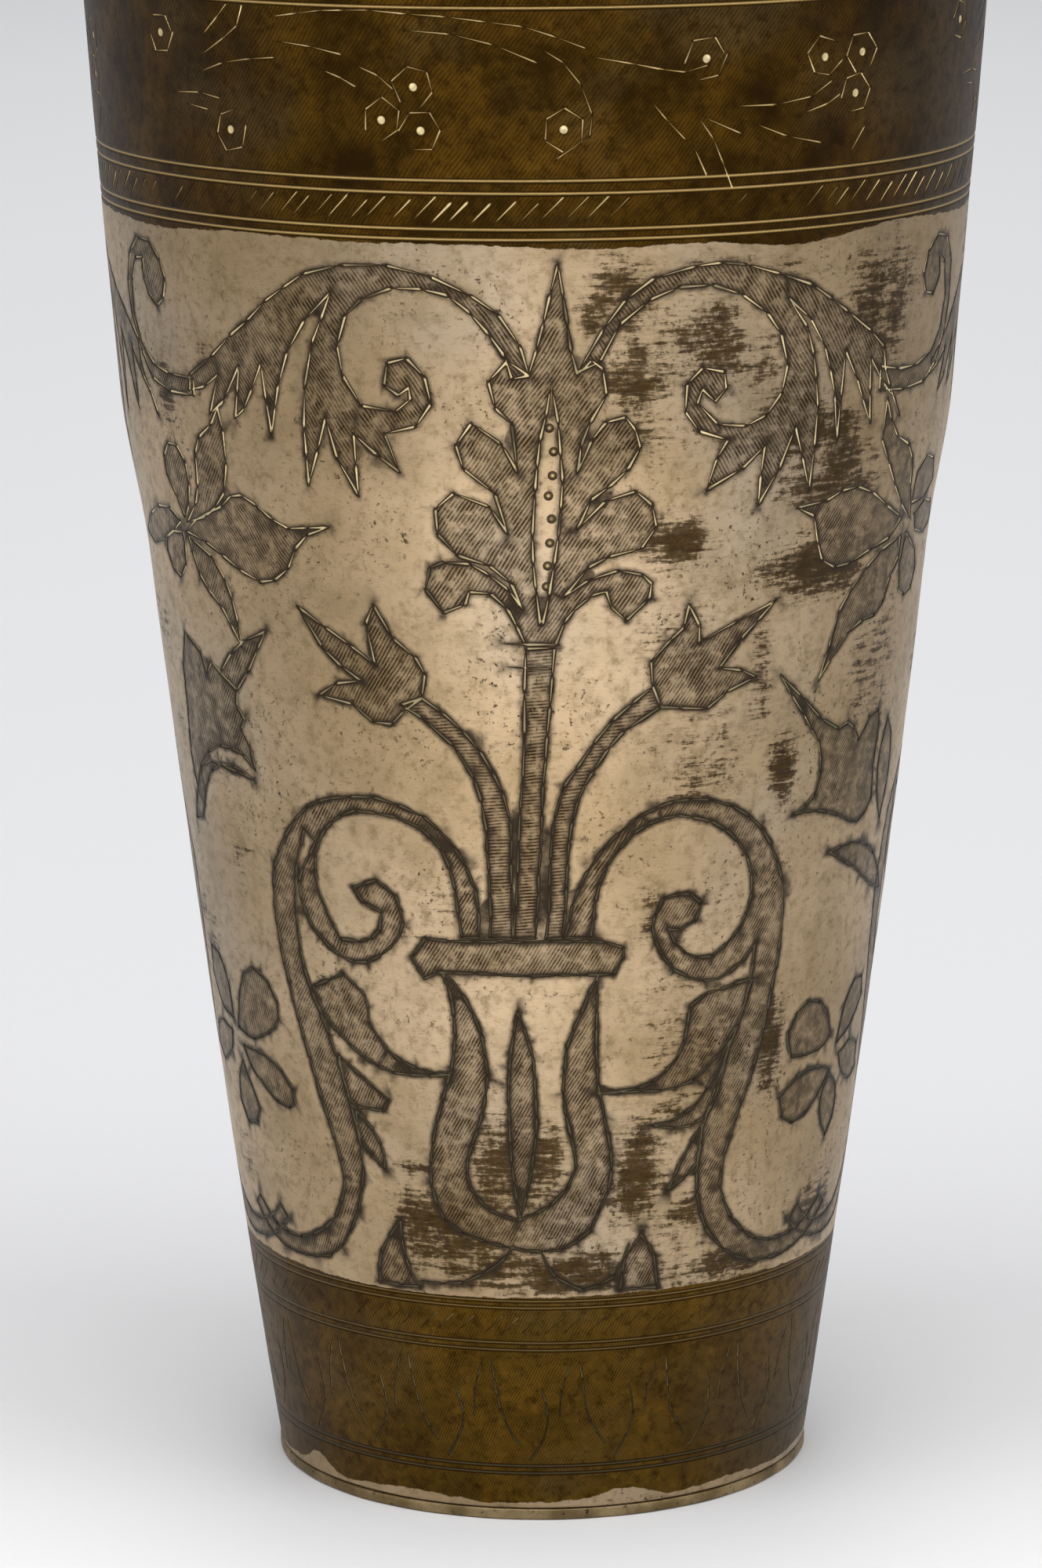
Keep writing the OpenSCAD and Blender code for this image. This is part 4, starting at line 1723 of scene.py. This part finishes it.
        profile = np.array(self.profile())
        run = np.concatenate([[0], np.cumsum(np.hypot(*np.diff(profile, axis=0).T))])
        nearest = np.zeros(len(at.z), int)
        best = np.full(len(at.z), np.inf)
        for k, (r, z) in enumerate(profile):
            away = np.hypot(at.reach - r, at.z - z)
            closer = away < best
            nearest[closer], best[closer] = k, away[closer]
        below = edge + (floor - self.map_gap) * run[nearest][at.corner] / run[-1]
        baked = np.stack([across, np.where(outside[at.owner], up, below)], 1)
        real = np.stack([angle * float(self.sheet.radius(self.high)) * self.girth_share, height], 1)
        for name, values in (("OFBake", baked), ("Sheet", real)):
            layer = mesh.uv_layers.new(name=name)
            layer.uv.foreach_set("vector", values.astype(np.float32).ravel())


@dataclass
class BaseDisc:
    """The flat disc under the wall, with a rubbed rounded edge."""

    node: str = "base_disc"
    name: str = "foot_disc"
    steps: int = 180
    round_mm: float = 0.55
    filed_mm: float = 0.05

    def build(self) -> bpy.types.Object:
        """Makes the disc, with its edge rounded over and slightly uneven."""
        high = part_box(self.node)[1]
        r = high.x / MM - self.filed_mm
        thick = high.z / MM
        edge = self.round_mm
        profile = [(0.0, 0.0), (r * 0.35, 0.0), (r * 0.7, 0.0), (r - edge * 2, 0.0)]
        profile += arc((r - edge, edge), edge, -90, 0, 5)
        profile += [(r, thick - 0.2), (r - 0.2, thick), (r * 0.6, thick), (r * 0.3, thick), (0.0, thick)]
        bm = bmesh.new()
        lathe(bm, profile, self.steps)
        close_up(bm)
        for v in bm.verts:
            self.nick(v, r, thick)
        return piece(self.name, bm, BASE_BRASS.build())

    @staticmethod
    def nick(v: bmesh.types.BMVert, r: float, thick: float) -> None:
        """Pulls the edge of the disc in a little, unevenly, as filing leaves it."""
        reach = math.hypot(v.co.x, v.co.y) / MM
        if reach < r - 1.2:
            return
        angle = math.atan2(v.co.y, v.co.x)
        pull = 0.08 + 0.05 * math.sin(9 * angle) + 0.04 * math.sin(23 * angle + 1)
        v.co.xy *= (reach - pull) / reach


@dataclass
class SolderRun:
    """Soft solder run into the corner between the wall and the base disc."""

    node: str = "solder_seam"
    name: str = "solder_run"
    steps: int = 180
    lump_mm: float = 0.25

    def build(self, sheet: WallSheet) -> bpy.types.Object:
        """Makes the run, with a lumpy hollow face inside the pot.

        Args:
            sheet: the wall that the solder wets.

        Returns:
            The finished piece.
        """
        low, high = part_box(self.node)
        film_r, base_z, top_z = high.x / MM, low.z / MM, high.z / MM
        foot = sheet.foot_z
        inner = float(sheet.radius(foot)) - sheet.sheet_t
        width = top_z - foot
        lean = float(sheet.slope(foot)) * width
        profile = [(inner, foot), (film_r, foot), (film_r, base_z), (inner - width, base_z)]
        for k in range(9):
            angle = math.radians(90 * k / 8)
            rise = 1 - math.cos(angle)
            profile.append((inner - width * (1 - math.sin(angle)) + lean * rise, foot + width * rise))
        profile.append(profile[0])
        bm = bmesh.new()
        lathe(bm, profile, self.steps)
        close_up(bm)
        for v in bm.verts:
            self.lump(v, inner, foot)
        return piece(self.name, bm, SOLDER.build())

    def lump(self, v: bmesh.types.BMVert, inner: float, foot: float) -> None:
        """Lets the hollow face of the run swell and sink as it goes round."""
        reach = math.hypot(v.co.x, v.co.y) / MM
        if reach > inner - 0.1 or v.co.z / MM < foot + 0.05:
            return
        angle = math.atan2(v.co.y, v.co.x)
        push = self.lump_mm * (math.sin(7 * angle) * math.sin(3 * angle + 1) + 0.3 * math.sin(31 * angle))
        v.co.xy *= (reach - push) / reach


# --------------------------------------------------------------------------------------
# Studio
# --------------------------------------------------------------------------------------


@dataclass
class Studio:
    """Pale sweep, soft lights and the camera in front of the pot."""

    distance: float = 1116.0
    camera_z: float = 361.0
    pitch_deg: float = 12.06
    yaw_deg: float = 0.167
    roll_deg: float = -0.33
    lens_mm: float = 145.8
    sensor_mm: float = 36.0
    sweep_half_m: float = 5.0
    world_colour: str = "#E4E5E8"
    world_strength: float = 0.6

    def build(self) -> None:
        """Sets up the whole studio."""
        self.camera()
        self.sweep()
        self.lights()

    def camera(self) -> None:
        """Places the camera."""
        data = bpy.data.cameras.new("camera")
        data.lens = self.lens_mm
        data.sensor_fit = "AUTO"
        data.sensor_width = self.sensor_mm
        data.clip_start = 0.05
        made = bpy.data.objects.new("camera", data)
        turn = (
            Matrix.Rotation(math.radians(self.yaw_deg), 4, "Z")
            @ Matrix.Rotation(math.radians(90 - self.pitch_deg), 4, "X")
            @ Matrix.Rotation(math.radians(self.roll_deg), 4, "Z")
        )
        made.matrix_world = Matrix.Translation((0, -self.distance * MM, self.camera_z * MM)) @ turn
        bpy.context.scene.collection.objects.link(made)
        bpy.context.scene.camera = made

    def sweep(self) -> None:
        """Lays the pale paper that the pot stands on."""
        bm = bmesh.new()
        bmesh.ops.create_grid(bm, x_segments=2, y_segments=2, size=self.sweep_half_m)
        piece("paper_sweep", bm, PlainPaper().build())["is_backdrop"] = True

    def lights(self) -> None:
        """Hangs a soft light on each side, a strip behind and a pool in front.

        The pot mirrors the floor, so the pool gives the pale stretch down its middle.
        """
        world = bpy.data.worlds.new("studio")
        bpy.context.scene.world = world
        world.use_nodes = True
        sky = world.node_tree.nodes["Background"]
        sky.inputs["Color"].default_value = hex_colour(self.world_colour)
        sky.inputs["Strength"].default_value = self.world_strength
        self.softbox("overhead_strip", (0, 1.2, 2.2), (0, 1.2, 0), (1.0, 5.0), 22, 120)
        self.softbox("front_pool", (0, -0.57, 0.85), (0, -0.54, 0), (0.4, 0.4), 2.6, 58)
        self.softbox("left_box", (-1.1, -0.7, 0.9), (0, 0, 0.1), (0.8, 0.8), 5, 180)
        self.softbox("right_box", (1.1, -0.7, 0.9), (0, 0, 0.1), (0.8, 0.8), 5.5, 180)

    @staticmethod
    def softbox(name: str, spot: tuple, aim: tuple, size: tuple, watts: float, spread: float) -> None:
        """Hangs one soft light.

        Args:
            name: name of the light.
            spot: where it hangs, in metres.
            aim: what it points at, in metres.
            size: its width and height, in metres.
            watts: how bright it is.
            spread: full angle of its beam, in degrees.
        """
        data = bpy.data.lights.new(name, "AREA")
        data.shape = "RECTANGLE"
        data.size, data.size_y = size
        data.energy = watts
        data.spread = math.radians(spread)
        made = bpy.data.objects.new(name, data)
        made.location = spot
        made.rotation_euler = (Vector(aim) - Vector(spot)).to_track_quat("-Z", "Y").to_euler()
        bpy.context.scene.collection.objects.link(made)


# --------------------------------------------------------------------------------------
# Assembly
# --------------------------------------------------------------------------------------


def stand_for(made: bpy.types.Object, node: str) -> None:
    """Lets a new piece stand for a CAD node.

    Args:
        made: the new piece.
        node: the CAD node that it stands for.
    """
    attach(made, "root")
    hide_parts(node)
    LOG.info("%s stands for %s: %d faces", made.name, node, len(made.data.polygons))


def main() -> None:
    """Builds the studio and every piece of the pot, in order."""
    logging.basicConfig(level=logging.INFO, format="%(message)s")
    bpy.context.scene.view_settings.view_transform = "Standard"
    Studio().build()

    sheet = WallSheet("vessel_wall", "rim_wire")
    design = ChasedDesign(sheet)
    design.lay_out()
    stand_for(ChasedWall(sheet, design, Wear(sheet)).build(), "vessel_wall")
    stand_for(BaseDisc().build(), "base_disc")
    stand_for(SolderRun().build(sheet), "solder_seam")

    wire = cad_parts["rim_wire"]
    wire.data.materials.clear()
    wire.data.materials.append(WIRE_BRASS.build())
    LOG.info("rim_wire keeps its CAD shape")

    boxes = {"cad": CAD_BOX, "visual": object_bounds()}
    {name: [list(corner) for corner in box] for name, box in boxes.items()}


if __name__ == "__main__":
    main()
